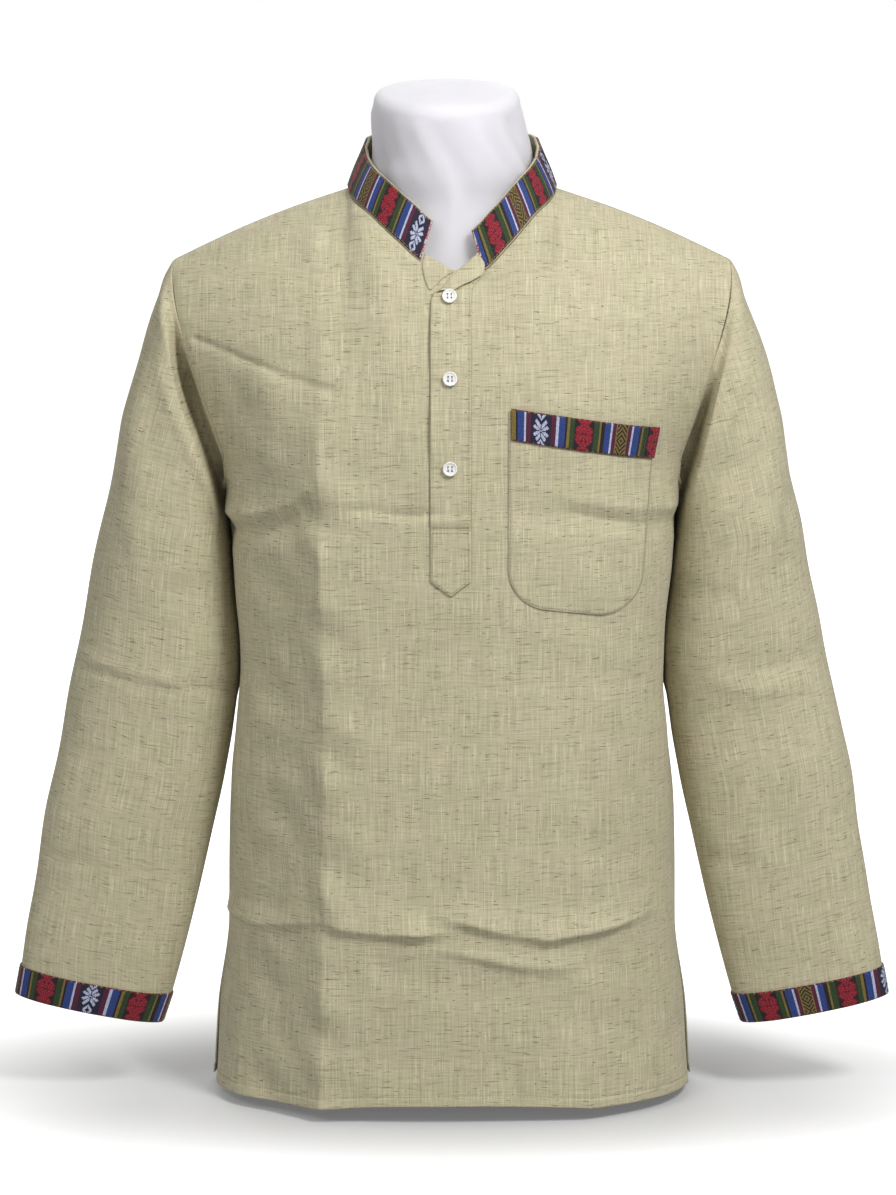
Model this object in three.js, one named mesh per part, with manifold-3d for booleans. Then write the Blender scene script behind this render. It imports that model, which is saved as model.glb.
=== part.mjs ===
// A short kurta with a stand collar, worn by a limbless dress form that stands on its own flat base.
// Millimetres, +Z up, the front faces -Y and the garment's left is at +X.
// The origin is the middle of the form's base.
// Each cut piece is a grid of points on the outside of the cloth, and its wall is that grid moved in
// by the cloth's thickness.
import * as THREE from "three";
import { mergeVertices } from "three/addons/utils/BufferGeometryUtils.js";
import Module from "manifold-3d";

const wasm = await Module();
wasm.setup();

// Driving dimensions.
const CLOTH = 1.6; // wall of the slub cloth
const BAND = 2.0; // wall of the collar band, two layers
const TRIM = 1.0; // wall of the woven trim
const GAP = 0.3; // space between pieces that lie on each other
const SEAM = 0.2; // half the space between pieces that are sewn edge to edge
const JOIN = 0.55; // space where a sleeve or the collar leaves its seam
const HEM = 14; // height of the hem over the form's base at the middle
const ARMPIT = 470; // height where the side seam meets the armhole
const CHEST = 500; // height where the panels leave the straight sections for the shoulder
const NECK = { half: 79, y: -14, front: 76, back: 78 }; // the neckline's half width, middle and reach
const NOTCH = { y: -90, height: 645 }; // the lowest point of the open V above the top button
const LAP = { drop: 7, from: 18, to: 60 }; // how much lower the left front lies, which laps over the right
const SHOULDER_TIP = { x: 210.5, y: -12, height: 646, bow: 3.5 };
const SLIT = { height: 130, front: 5, back: 9, flare: 3 }; // the side slit, and how far its edges part
const HEM_DIP = { crease: 4, creaseAt: 0.34, corner: 8, fade: 70 }; // how the hem falls from its middle
const NECK_COLUMN = 0.241; // panel column that meets the side of the neck
const COLLAR_START = 0.053; // panel column where the collar ends, each side of the front
const BUTTON = {
  off: 0.55, radius: 5.4, edge: 0.5, rim: 1.1, dish: 0.7, thick: 2.4, hole: 0.8, spread: 1.5, sides: 20,
};
const FORM_SIDES = 36;

// Sections of the body: half width at the side seam, half width that the middle columns follow,
// depth before and behind the side seam, and the outline's squareness.
const BODY = [
  { height: 14, half: 183.5, core: 180, front: 126, back: 118, square: 2.5 },
  { height: 66, half: 180.7, core: 174, front: 125, back: 117, square: 2.5 },
  { height: 130, half: 173.5, core: 169, front: 124, back: 116, square: 2.5 },
  { height: 178, half: 173, core: 168, front: 123, back: 115, square: 2.5 },
  { height: 226, half: 171.7, core: 168, front: 122, back: 113, square: 2.5 },
  { height: 285, half: 165.3, core: 168, front: 121, back: 111, square: 2.5 },
  { height: 330, half: 161, core: 168.5, front: 121, back: 110, square: 2.5 },
  { height: 352, half: 161.2, core: 169.5, front: 121, back: 110, square: 2.5 },
  { height: 414, half: 166.5, core: 172, front: 122, back: 112, square: 2.5 },
  { height: 460, half: 171.5, core: 174, front: 122, back: 115, square: 2.5 },
  { height: 500, half: 177.5, core: 176, front: 121, back: 117, square: 2.5 },
];

// How much of the quarter turn from the middle to the side each panel covers beside the armhole.
const REACH = [
  { height: ARMPIT, reach: 1 },
  { height: 478, reach: 0.9 },
  { height: CHEST, reach: 0.84 },
];

// Height of the neckline, by the turn in degrees from the middle of the front to the middle of the back.
const NECKLINE = [
  { turn: 0, height: 641 },
  { turn: 17, height: 650 },
  { turn: 31, height: 665 },
  { turn: 54, height: 685 },
  { turn: 75, height: 694.5 },
  { turn: 90, height: 700 },
  { turn: 120, height: 705 },
  { turn: 180, height: 703 },
];

// How a column leaves the chest and how it arrives at the shoulder seam or neckline, front and back.
// "arriveY" is measured from the middle of the neckline, and the rest from the column's own ends.
const FRONT_RISE = [
  { u: 0, leaveX: 0, leaveY: 0, leaveZ: 62, arriveX: 0, arriveY: -98, arriveZ: -40 },
  { u: 0.13, leaveX: 0, leaveY: -1, leaveZ: 70, arriveX: -1, arriveY: -92, arriveZ: -34 },
  { u: 0.241, leaveX: 0, leaveY: -2, leaveZ: 80, arriveX: -2, arriveY: -74, arriveZ: -26 },
  { u: 0.55, leaveX: 4, leaveY: -6, leaveZ: 84, arriveX: -4, arriveY: -54, arriveZ: -16 },
  { u: 1, leaveX: 12, leaveY: -18, leaveZ: 45, arriveX: 6, arriveY: -42, arriveZ: -33 },
];
const BACK_RISE = [
  { u: 0, leaveX: 0, leaveY: 4, leaveZ: 100, arriveX: 0, arriveY: 116, arriveZ: -24 },
  { u: 0.13, leaveX: 0, leaveY: 4, leaveZ: 101, arriveX: -1, arriveY: 111, arriveZ: -18 },
  { u: 0.241, leaveX: 0, leaveY: 4, leaveZ: 102, arriveX: -2, arriveY: 98, arriveZ: -5 },
  { u: 0.55, leaveX: 4, leaveY: 8, leaveZ: 98, arriveX: -4, arriveY: 86, arriveZ: -4 },
  { u: 1, leaveX: 12, leaveY: 18, leaveZ: 50, arriveX: 6, arriveY: 60, arriveZ: -22 },
];

// Pressed creases down the front, each along one column, and the folds across it, each along one height.
const DOWN_FOLDS = [
  { u: -0.318, fadeTop: 620, fadeFrom: 500, rise: 4.5, width: 0.055 },
  { u: 0.37, fadeTop: 560, fadeFrom: 440, rise: 3.5, width: 0.05 },
];
const CROSS_FOLDS = [
  { height: 150, rise: 3.5, width: 13 },
  { height: 138, rise: -2.5, width: 10 },
  { height: 455, rise: 2, width: 15 },
];

// Rings of a sleeve, from the armpit down: heights and places of the outer and inner edge, half depth,
// squareness and the middle's place. The last two rings bound the cuff's trim.
const SLEEVE = [
  { outerZ: 470, innerZ: 446, outerX: 261.5, innerX: 174.5, depth: 60, square: 2.2, y: 0 },
  { outerZ: 442, innerZ: 419, outerX: 268, innerX: 171.5, depth: 58.5, square: 2.2, y: 0 },
  { outerZ: 414, innerZ: 392, outerX: 274, innerX: 170, depth: 57, square: 2.2, y: 0 },
  { outerZ: 367, innerZ: 345, outerX: 284, innerX: 165.5, depth: 52, square: 2.2, y: -1 },
  { outerZ: 320, innerZ: 298, outerX: 293.5, innerX: 167.5, depth: 46, square: 2.2, y: -2 },
  { outerZ: 273, innerZ: 250, outerX: 302.5, innerX: 175, depth: 41, square: 2.2, y: -4 },
  { outerZ: 226, innerZ: 203, outerX: 312, innerX: 185.5, depth: 37, square: 2.2, y: -6 },
  { outerZ: 178, innerZ: 155, outerX: 320, innerX: 196.5, depth: 33, square: 2.2, y: -8 },
  { outerZ: 131, innerZ: 108, outerX: 329, innerX: 208.5, depth: 29, square: 2.2, y: -10 },
  { outerZ: 98, innerZ: 76, outerX: 334.5, innerX: 217.5, depth: 26, square: 2.2, y: -11 },
  { outerZ: 75.5, innerZ: 53, outerX: 338.6, innerX: 225.5, depth: 23, square: 2.2, y: -12 },
];

// How the sleeve leaves the armhole, by the turn from the shoulder tip round the front.
const CAP_LEAVE = [
  { turn: 0, x: 0.45, y: 0, z: -0.89, pull: 0.35 },
  { turn: 90, x: 0.82, y: -0.35, z: -0.45, pull: 0.3 },
  { turn: 180, x: 0.1, y: 0, z: -1, pull: 0.3 },
  { turn: 270, x: 0.82, y: 0.35, z: -0.45, pull: 0.3 },
  { turn: 360, x: 0.45, y: 0, z: -0.89, pull: 0.35 },
];
// The valley and the ridge that run beside the armhole seam, by distance from it.
const CAP_FOLD = { valley: -6, valleyAt: 13, ridge: 4, ridgeAt: 28, width: 8, backShare: 0.6 };

// The collar's lean from its seam to its top edge, by the turn from the middle of the front.
const COLLAR_LEAN = [
  { turn: 15, x: -9, y: 13, z: 29 },
  { turn: 31, x: -11, y: 12, z: 28 },
  { turn: 54, x: -11, y: 14, z: 27 },
  { turn: 75, x: -13, y: 12, z: 28 },
  { turn: 90, x: -13, y: 8, z: 31 },
  { turn: 120, x: -9, y: 0, z: 33 },
  { turn: 150, x: -4, y: -5, z: 33 },
  { turn: 180, x: 0, y: -8, z: 33 },
];
// Shares of the band's height. The trim covers all but the first and last stretch.
const COLLAR_ROWS = [0, 0.06, 0.5, 0.94, 1];

// Sections of the dress form: half width, depths, squareness. The neck leans forward a little.
const FORM = [
  { height: 0, half: 126, front: 36, back: 64, square: 2.4 },
  { height: 12, half: 163, front: 104, back: 100, square: 2.4 },
  { height: 60, half: 165, front: 106, back: 103, square: 2.4 },
  { height: 150, half: 160, front: 104, back: 102, square: 2.3 },
  { height: 240, half: 150, front: 100, back: 92, square: 2.3 },
  { height: 310, half: 144, front: 98, back: 86, square: 2.3 },
  { height: 370, half: 147, front: 103, back: 90, square: 2.3 },
  { height: 440, half: 157, front: 111, back: 99, square: 2.3 },
  { height: 500, half: 164, front: 113, back: 106, square: 2.2 },
  { height: 550, half: 172, front: 104, back: 104, square: 2.1 },
  { height: 590, half: 184, front: 94, back: 99, square: 2 },
  { height: 615, half: 194, front: 86, back: 93, square: 1.85 },
  { height: 632, half: 199, front: 81, back: 88, square: 1.7 },
  { height: 645, half: 195, front: 76, back: 82, square: 1.58 },
  { height: 658, half: 173, front: 71, back: 76, square: 1.5 },
  { height: 672, half: 143, front: 65, back: 68, square: 1.42 },
  { height: 684, half: 112.3, front: 60, back: 59, square: 1.4 },
  { height: 695, half: 79.6, front: 58, back: 52, square: 1.5 },
  { height: 705, half: 66.5, front: 60, back: 52, square: 1.9 },
  { height: 716, half: 62, front: 61, back: 51.5, square: 2.1 },
  { height: 736, half: 58.5, front: 62, back: 51, square: 2.1 },
  { height: 764, half: 55.5, front: 60.5, back: 49, square: 2.1 },
];
// The neck's top: its crown, rounded rim and slope, and how far it leans aside.
const CAP = { lift: 3, round: 9, tilt: 0.155, tiltFrom: 705, aside: -4, asideFrom: 722 };

// Outlines of what lies on the front, seen from the front.
const PLACKET = [
  [-1, 404], [14, 415], [14, 637], [27, 645], [27, 668], [2.5, 648],
  [-7.6, 636], [-14, 629], [-16.4, 621], [-16.4, 415],
];
const UNDER_PLACKET = [
  [-23, 652], [-22, 641], [-17.5, 630], [-15, 630.5], [-9, 637.5], [-0.5, 648], [-0.5, 652],
];
const POCKET = { left: 41.5, right: 149, top: 543, fall: 21, bottom: 393, corner: 31 };
const POCKET_TRIM = { height: 23, past: 2 };
const BUTTONS = [
  { name: "button_top", x: -2, height: 625 },
  { name: "button_middle", x: -1.6, height: 566 },
  { name: "button_low", x: -1.6, height: 500 },
];

// Columns across each panel, from the middle to the side, and rows up it.
const FRONT_COLUMNS = [0, 0.027, COLLAR_START, 0.084, 0.115, 0.145, 0.175, 0.208, NECK_COLUMN,
  0.28, 0.318, 0.37, 0.43, 0.5, 0.58, 0.67, 0.76, 0.85, 0.93, 1];
const BACK_COLUMNS = [0, 0.06, 0.12, 0.17, 0.21, NECK_COLUMN, 0.32, 0.42, 0.53, 0.65, 0.77, 0.89, 1];
const LOW_ROWS = [HEM, 45, 85, 120, 138, 150, 170, 215, 260, 300, 345, 390, 430, 455, ARMPIT, 484];
const RISE_ROWS = [0, 0.16, 0.32, 0.47, 0.6, 0.72, 0.82, 0.91, 1];
const CAP_ROWS = [0, 0.06, 0.13, 0.21, 0.32, 0.48, 0.7];

const vec = (x, y, z) => new THREE.Vector3(x, y, z);
const power = (value, exponent) => Math.sign(value) * Math.abs(value) ** exponent;
const mix = (a, b, share) => a + (b - a) * share;
const smooth = (from, to, value) => THREE.MathUtils.smoothstep(value, from, to);
const degrees = THREE.MathUtils.radToDeg;
const radians = THREE.MathUtils.degToRad;

// A smooth curve through one column of a table, with no overshoot between its rows.
function along(rows, key, column, at) {
  const last = rows.length - 1;
  if (at <= rows[0][key]) return rows[0][column];
  if (at >= rows[last][key]) return rows[last][column];
  const step = (k) => rows[k + 1][key] - rows[k][key];
  const rise = (k) => (rows[k + 1][column] - rows[k][column]) / step(k);
  const slope = (k) => {
    if (k === 0) return rise(0);
    if (k === last) return rise(last - 1);
    const product = rise(k - 1) * rise(k);
    return product <= 0 ? 0 : (2 * product) / (rise(k - 1) + rise(k));
  };
  const i = rows.findIndex((row, k) => k < last && at < rows[k + 1][key]);
  const s = (at - rows[i][key]) / step(i);
  const ends = mix(rows[i][column], rows[i + 1][column], s * s * (3 - 2 * s));
  return ends + step(i) * s * (1 - s) * (slope(i) * (1 - s) - slope(i + 1) * s);
}

function bezier(a, b, c, d, t) {
  const s = 1 - t;
  const sum = a.clone().multiplyScalar(s ** 3).addScaledVector(b, 3 * s * s * t);
  return sum.addScaledVector(c, 3 * s * t * t).addScaledVector(d, t ** 3);
}

// Below the chest: a point of a panel (side -1 is the front) at column u and a height.
function sectionPoint(side, u, height) {
  const s = Math.abs(u);
  const exponent = 2 / along(BODY, "height", "square", height);
  const reach = along(REACH, "height", "reach", height);
  const turn = ((s - (1 - reach) * s ** 4) * Math.PI) / 2;
  const core = along(BODY, "height", "core", height);
  const half = along(BODY, "height", "half", height);
  const depth = along(BODY, "height", side < 0 ? "front" : "back", height);
  const open = Math.max(0, (SLIT.height - height) / (SLIT.height - HEM)) * s ** 8;
  const x = core * Math.sin(turn) ** exponent + (half - core) * s ** 4 + (side > 0 ? SLIT.flare * open : 0);
  const y = depth * Math.max(0, Math.cos(turn)) ** exponent + (side < 0 ? SLIT.front : SLIT.back) * open;
  const { crease, creaseAt, corner } = HEM_DIP;
  const dip = crease * Math.min(1, s / creaseAt) ** 2 + (corner - crease) * s ** 3;
  const fade = 1 - smooth(HEM, HEM_DIP.fade, height);
  return vec(Math.sign(u) * x, side * y, height - dip * fade);
}

// The neckline, by the turn in degrees from the middle of the front (0) to the middle of the back (180).
// "lap" is 1 on the left side and 0 on the right.
function necklinePoint(turn, lap) {
  const angle = radians(turn);
  const reach = turn < 90 ? NECK.front : NECK.back;
  const drop = lap * LAP.drop * (1 - smooth(LAP.from, LAP.to, turn));
  const height = along(NECKLINE, "turn", "height", turn) - drop;
  return vec(NECK.half * Math.sin(angle), NECK.y - reach * Math.cos(angle), height);
}

// Where column u of a panel ends: on the open V, the neckline or the shoulder seam.
function topPoint(side, u) {
  const chest = Math.abs(sectionPoint(side, u, CHEST).x);
  const neckChest = sectionPoint(side, NECK_COLUMN, CHEST).x;
  const x = Math.min(1, chest / neckChest) * NECK.half;
  const turnAt = (across) => degrees(Math.asin(Math.min(1, across / NECK.half)));
  const notchHalf = (sectionPoint(side, COLLAR_START, CHEST).x / neckChest) * NECK.half;
  const lap = u > 0 ? 1 : 0;
  let point = necklinePoint(side < 0 ? turnAt(x) : 180 - turnAt(x), lap);
  if (chest > neckChest + 0.01) {
    const share = (chest - neckChest) / (sectionPoint(side, 1, CHEST).x - neckChest);
    const neck = necklinePoint(90, lap);
    point = neck.lerp(vec(SHOULDER_TIP.x, SHOULDER_TIP.y, SHOULDER_TIP.height), share);
    point.z += SHOULDER_TIP.bow * Math.sin(Math.PI * share);
  } else if (side < 0 && x < notchHalf) {
    const edge = necklinePoint(turnAt(notchHalf), lap);
    point = vec(0, NOTCH.y, NOTCH.height).lerp(edge, x / notchHalf).setX(x);
  }
  point.x *= Math.sign(u);
  return point;
}

// Above the chest: share 0 is the chest and 1 the top edge of the panel.
function risePoint(side, u, share) {
  const table = side < 0 ? FRONT_RISE : BACK_RISE;
  const s = Math.abs(u);
  const offset = (name) => vec(Math.sign(u) * along(table, "u", `${name}X`, s),
    along(table, "u", `${name}Y`, s), along(table, "u", `${name}Z`, s));
  const from = sectionPoint(side, u, CHEST);
  const to = topPoint(side, u);
  const arrive = to.clone().setY(NECK.y).add(offset("arrive"));
  return bezier(from, from.clone().add(offset("leave")), arrive, to, share);
}

// The folds of the front: how far a point is moved out.
function foldRise(u, height) {
  let rise = 0;
  for (const fold of DOWN_FOLDS) {
    const fade = 1 - smooth(fold.fadeFrom, fold.fadeTop, height);
    rise += fold.rise * Math.exp(-Math.abs(u - fold.u) / fold.width) * fade;
  }
  const flatSide = 1 - smooth(0.75, 0.95, Math.abs(u));
  for (const fold of CROSS_FOLDS) {
    rise += fold.rise * flatSide * Math.exp(-(((height - fold.height) / fold.width) ** 2));
  }
  return rise;
}

// Outward normals of a grid of points, rows by columns; wrap joins the last column to the first.
function gridNormals(grid, wrap) {
  const [rows, columns] = [grid.length, grid[0].length];
  return grid.map((row, j) => row.map((_, i) => {
    const left = wrap ? row[(i - 1 + columns) % columns] : row[Math.max(0, i - 1)];
    const right = wrap ? row[(i + 1) % columns] : row[Math.min(columns - 1, i + 1)];
    const before = grid[Math.max(0, j - 1)][i];
    const after = grid[Math.min(rows - 1, j + 1)][i];
    return right.clone().sub(left).cross(after.clone().sub(before)).normalize();
  }));
}

const shifted = (grid, normals, distance) =>
  grid.map((row, j) => row.map((point, i) => point.clone().addScaledVector(normals[j][i], distance)));

function geometryOf(points, triangles) {
  const geometry = new THREE.BufferGeometry();
  geometry.setAttribute("position", new THREE.Float32BufferAttribute(points.flatMap((p) => p.toArray()), 3));
  geometry.setIndex(triangles.flat());
  return geometry;
}

// A closed wall between an outer and an inner grid.
function wallGeometry(outer, inner, wrap = false) {
  const [rows, columns] = [outer.length, outer[0].length];
  const points = [...outer.flat(), ...inner.flat()];
  const at = (layer, j, i) => layer * rows * columns + j * columns + (i % columns);
  const triangles = [];
  const quad = (a, b, c, d) => triangles.push([a, b, c], [a, c, d]);
  const spans = wrap ? columns : columns - 1;
  const top = rows - 1;
  const end = columns - 1;
  for (let i = 0; i < spans; i += 1) {
    for (let j = 0; j < top; j += 1) {
      quad(at(0, j, i), at(0, j, i + 1), at(0, j + 1, i + 1), at(0, j + 1, i));
      quad(at(1, j, i), at(1, j + 1, i), at(1, j + 1, i + 1), at(1, j, i + 1));
    }
    quad(at(1, 0, i), at(1, 0, i + 1), at(0, 0, i + 1), at(0, 0, i));
    quad(at(0, top, i), at(0, top, i + 1), at(1, top, i + 1), at(1, top, i));
  }
  for (let j = 0; !wrap && j < top; j += 1) {
    quad(at(0, j, 0), at(0, j + 1, 0), at(1, j + 1, 0), at(1, j, 0));
    quad(at(1, j, end), at(1, j + 1, end), at(0, j + 1, end), at(0, j, end));
  }
  return geometryOf(points, triangles);
}

const clothWall = ({ outer, normals }, thickness) => wallGeometry(outer, shifted(outer, normals, -thickness));

// A front or back panel: its outer points and their normals. Seen from outside, columns run to the right.
function panelGrid(side, columns) {
  const across = [...columns.slice(1).reverse().map((u) => -u), ...columns];
  if (side > 0) across.reverse();
  const smoothRows = [
    ...LOW_ROWS.map((height) => across.map((u) => sectionPoint(side, u, height))),
    ...RISE_ROWS.map((share) => across.map((u) => risePoint(side, u, share))),
  ].map((row) => row.map((point) => point.add(vec(0, side * SEAM, 0))));
  const flat = gridNormals(smoothRows, false);
  const outer = side > 0 ? smoothRows : smoothRows.map((row, j) => row.map((point, i) =>
    point.clone().addScaledVector(flat[j][i], foldRise(across[i], point.z))));
  const normals = gridNormals(outer, false);
  // Along the side and shoulder seams the wall is cut in the seam's plane, so the panels never cross there.
  const top = normals.length - 1;
  const sideRows = LOW_ROWS.filter((height) => height <= ARMPIT).length;
  const level = (n) => n.setY(0).normalize();
  normals.slice(0, sideRows).forEach((row) => [row[0], row[row.length - 1]].forEach(level));
  normals[top].filter((_, i) => Math.abs(across[i]) >= NECK_COLUMN).forEach(level);
  return { outer, normals, across };
}

const front = panelGrid(-1, FRONT_COLUMNS);
const back = panelGrid(1, BACK_COLUMNS);

// A seam's points, each with "out", the direction that continues the panel's cloth past its edge.
function seamLine(line, closed) {
  const count = line.length;
  const near = (k) => line[closed ? (k + count) % count : THREE.MathUtils.clamp(k, 0, count - 1)].point;
  return line.map((p, k) => {
    const run = near(k + 1).clone().sub(near(k - 1));
    return { ...p, out: p.normal.clone().cross(run).normalize() };
  });
}

// Where the next piece starts: past the panel's edge, and beside it where that piece turns back on the panel.
function startPoint(p, leave) {
  const bend = Math.max(0, Math.atan2(leave.dot(p.normal), leave.dot(p.out)));
  const past = p.point.clone().addScaledVector(p.out, JOIN * Math.cos(bend / 2));
  return past.addScaledVector(p.normal, JOIN * Math.sin(bend / 2));
}

// At its seam the wall of the next piece never reaches back over the panel's edge.
function squareToSeam(normal, p, leave) {
  const over = normal.dot(p.out);
  if (over > 0 && leave.dot(p.out) > 0) normal.addScaledVector(p.out, -over).normalize();
}

// The armhole seam at x > 0, from the shoulder tip round the front, the armpit and the back.
// "turn" is the share of the way round.
function armholeLoop() {
  const firstRow = LOW_ROWS.indexOf(ARMPIT);
  const edge = (panel, column) => panel.outer.slice(firstRow).map((row, k) => ({
    point: row[column].clone(), normal: panel.normals[k + firstRow][column].clone(),
  }));
  const measured = (line, start) => {
    let run = 0;
    const lengths = line.map((p, k) => (k ? p.point.distanceTo(line[k - 1].point) : 0));
    const total = lengths.reduce((sum, length) => sum + length, 0);
    return line.map((p, k) => {
      run += lengths[k];
      return { ...p, turn: start + (run / total) * 180 };
    });
  };
  const down = measured(edge(front, front.across.length - 1).reverse(), 0);
  const up = measured(edge(back, 0), 180);
  const loop = [...down.slice(0, -1), ...up.slice(0, -1)];
  loop.find((p) => p.turn === 180).point.setY(0);
  loop[0].point.setY(SHOULDER_TIP.y);
  return seamLine(loop, true);
}

function capDirection(turn) {
  return vec(along(CAP_LEAVE, "turn", "x", turn), along(CAP_LEAVE, "turn", "y", turn),
    along(CAP_LEAVE, "turn", "z", turn)).normalize();
}

function ringPoint(ring, turn) {
  const angle = radians(turn);
  const across = (1 + power(Math.cos(angle), 2 / ring.square)) / 2;
  const y = ring.y - ring.depth * power(Math.sin(angle), 2 / ring.square);
  return vec(mix(ring.innerX, ring.outerX, across), y, mix(ring.innerZ, ring.outerZ, across));
}

// How far the cap of the sleeve is moved out beside the armhole, by the turn and the distance from the seam.
function capRise(turn, far) {
  const ahead = smooth(35, 75, turn) * (1 - smooth(135, 168, turn));
  const behind = CAP_FOLD.backShare * smooth(192, 225, turn) * (1 - smooth(285, 325, turn));
  const bump = (at, rise) => rise * Math.exp(-(((far - at) / CAP_FOLD.width) ** 2));
  const { valley, valleyAt, ridge, ridgeAt } = CAP_FOLD;
  return (ahead + behind) * (bump(valleyAt, valley) + bump(ridgeAt, ridge));
}

// One sleeve at x > 0: rows from the armhole to the cuff, columns round it.
function sleeveGrid() {
  const loop = armholeLoop();
  const start = loop.map((p) => startPoint(p, capDirection(p.turn)));
  const cap = CAP_ROWS.map((share) => loop.map((p, i) => {
    const end = ringPoint(SLEEVE[0], p.turn);
    const length = start[i].distanceTo(end);
    const pull = along(CAP_LEAVE, "turn", "pull", p.turn) * length;
    const leave = start[i].clone().addScaledVector(capDirection(p.turn), pull);
    const upward = end.clone().sub(ringPoint(SLEEVE[1], p.turn)).normalize();
    return bezier(start[i], leave, end.clone().addScaledVector(upward, 0.3 * length), end, share);
  }));
  const rows = [...cap, ...SLEEVE.map((ring) => loop.map((p) => ringPoint(ring, p.turn)))];
  const flat = gridNormals(rows, true);
  const outer = rows.map((row, j) => row.map((point, i) => {
    const rise = j === 0 ? 0 : capRise(loop[i].turn, point.distanceTo(start[i]));
    return point.clone().addScaledVector(flat[j][i], rise);
  }));
  const normals = gridNormals(outer, true);
  loop.forEach((p, i) => squareToSeam(normals[0][i], p, capDirection(p.turn)));
  return { outer, normals };
}

const sleeve = sleeveGrid();

// A wall round a sleeve, between two lifts off its outer points, from a row down to the cuff.
// Side -1 is the right sleeve.
function sleeveWall(side, firstRow, low, high) {
  const part = (lift) => shifted(sleeve.outer, sleeve.normals, lift).slice(firstRow);
  const mirrored = (row) => row.map((p) => vec(-p.x, p.y, p.z)).reverse();
  const facing = (grid) => (side > 0 ? grid : grid.map(mirrored));
  return wallGeometry(facing(part(high)), facing(part(low)), true);
}

// A closed mesh as a solid, with its shared points merged and its empty triangles dropped.
function solidOf(geometry) {
  const bare = new THREE.BufferGeometry().setAttribute("position", geometry.getAttribute("position").clone());
  if (geometry.index) bare.setIndex(geometry.index.clone());
  const welded = mergeVertices(bare, 1e-3);
  const index = welded.index.array;
  const kept = [];
  for (let i = 0; i < index.length; i += 3) {
    const [a, b, c] = index.slice(i, i + 3);
    if (a !== b && b !== c && c !== a) kept.push(a, b, c);
  }
  const vertProperties = new Float32Array(welded.getAttribute("position").array);
  return new wasm.Manifold(new wasm.Mesh({ numProp: 3, vertProperties, triVerts: new Uint32Array(kept) }));
}

function geometryFrom(solid) {
  const mesh = solid.getMesh();
  const geometry = new THREE.BufferGeometry();
  geometry.setAttribute("position", new THREE.BufferAttribute(new Float32Array(mesh.vertProperties), 3));
  geometry.setIndex(new THREE.BufferAttribute(new Uint32Array(mesh.triVerts), 1));
  return geometry;
}

// A piece that lies on the front: the front's own points moved out, cut to an outline seen from the front.
function onFront(outline, lift, thickness) {
  const margin = 45;
  const within = (value, axis) => {
    const values = outline.map((p) => p[axis]);
    return value > Math.min(...values) - margin && value < Math.max(...values) + margin;
  };
  const rowKept = front.outer.map((row) => row.some((p) => within(p.z, 1)));
  const inRows = front.outer.filter((_, j) => rowKept[j]);
  const columnKept = front.across.map((_, i) => inRows.some((row) => within(row[i].x, 0)));
  const part = (grid) => grid.filter((_, j) => rowKept[j]).map((row) => row.filter((_, i) => columnKept[i]));
  const wall = wallGeometry(part(shifted(front.outer, front.normals, lift + thickness)),
    part(shifted(front.outer, front.normals, lift)));
  const shape = new THREE.Shape(outline.map((p) => new THREE.Vector2(p[0], p[1])));
  const prism = new THREE.ExtrudeGeometry(shape, { depth: 300, bevelEnabled: false }).rotateX(Math.PI / 2);
  return geometryFrom(solidOf(wall).intersect(solidOf(prism)));
}

// The pocket: its top falls towards the side and its two lower corners are round.
function pocketOutline() {
  const { left, right, top, fall, bottom, corner } = POCKET;
  const arc = (x, z, from) => [0, 1, 2, 3, 4].map((k) => {
    const angle = from + (k * Math.PI) / 8;
    return [x + corner * Math.cos(angle), z + corner * Math.sin(angle)];
  });
  const lowRight = bottom - fall / 4;
  return [[left, top], ...arc(left + corner, bottom + corner, Math.PI),
    ...arc(right - corner, lowRight + corner, 1.5 * Math.PI), [right, top - fall]];
}

function pocketTrimOutline() {
  const { left, right, top, fall } = POCKET;
  const outer = right + POCKET_TRIM.past;
  const low = top - POCKET_TRIM.height;
  return [[left, top], [left, low], [outer, low - fall], [outer, top - fall]];
}

// The collar band: rows up it, columns from its end at x > 0 round the back to its other end.
function collarGrid() {
  const edge = (panel, keep) => {
    const top = panel.outer.length - 1;
    const entry = (u, i) => ({ u, point: panel.outer[top][i], normal: panel.normals[top][i] });
    return panel.across.map(entry).filter(({ u }) => keep(u));
  };
  const ahead = (sign) => edge(front, (u) => sign * u >= COLLAR_START && sign * u < NECK_COLUMN);
  const seam = seamLine([...ahead(1), ...edge(back, (u) => Math.abs(u) <= NECK_COLUMN), ...ahead(-1)], false);
  const leans = seam.map(({ point }) => {
    const forward = NECK.y - point.y;
    const reach = forward > 0 ? NECK.front : NECK.back;
    const turn = degrees(Math.acos(THREE.MathUtils.clamp(forward / reach, -1, 1)));
    return vec(along(COLLAR_LEAN, "turn", "x", turn) * Math.sign(point.x),
      along(COLLAR_LEAN, "turn", "y", turn), along(COLLAR_LEAN, "turn", "z", turn));
  });
  const outer = COLLAR_ROWS.map((share) => seam.map((p, i) =>
    startPoint(p, leans[i].clone().normalize()).addScaledVector(leans[i], share)));
  const normals = gridNormals(outer, false);
  seam.forEach((p, i) => squareToSeam(normals[0][i], p, leans[i]));
  return { outer, normals };
}

function collarTrim({ outer, normals }) {
  const layer = (lift) => shifted(outer, normals, lift).slice(1, -1);
  return wallGeometry(layer(GAP + TRIM), layer(GAP));
}

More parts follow.
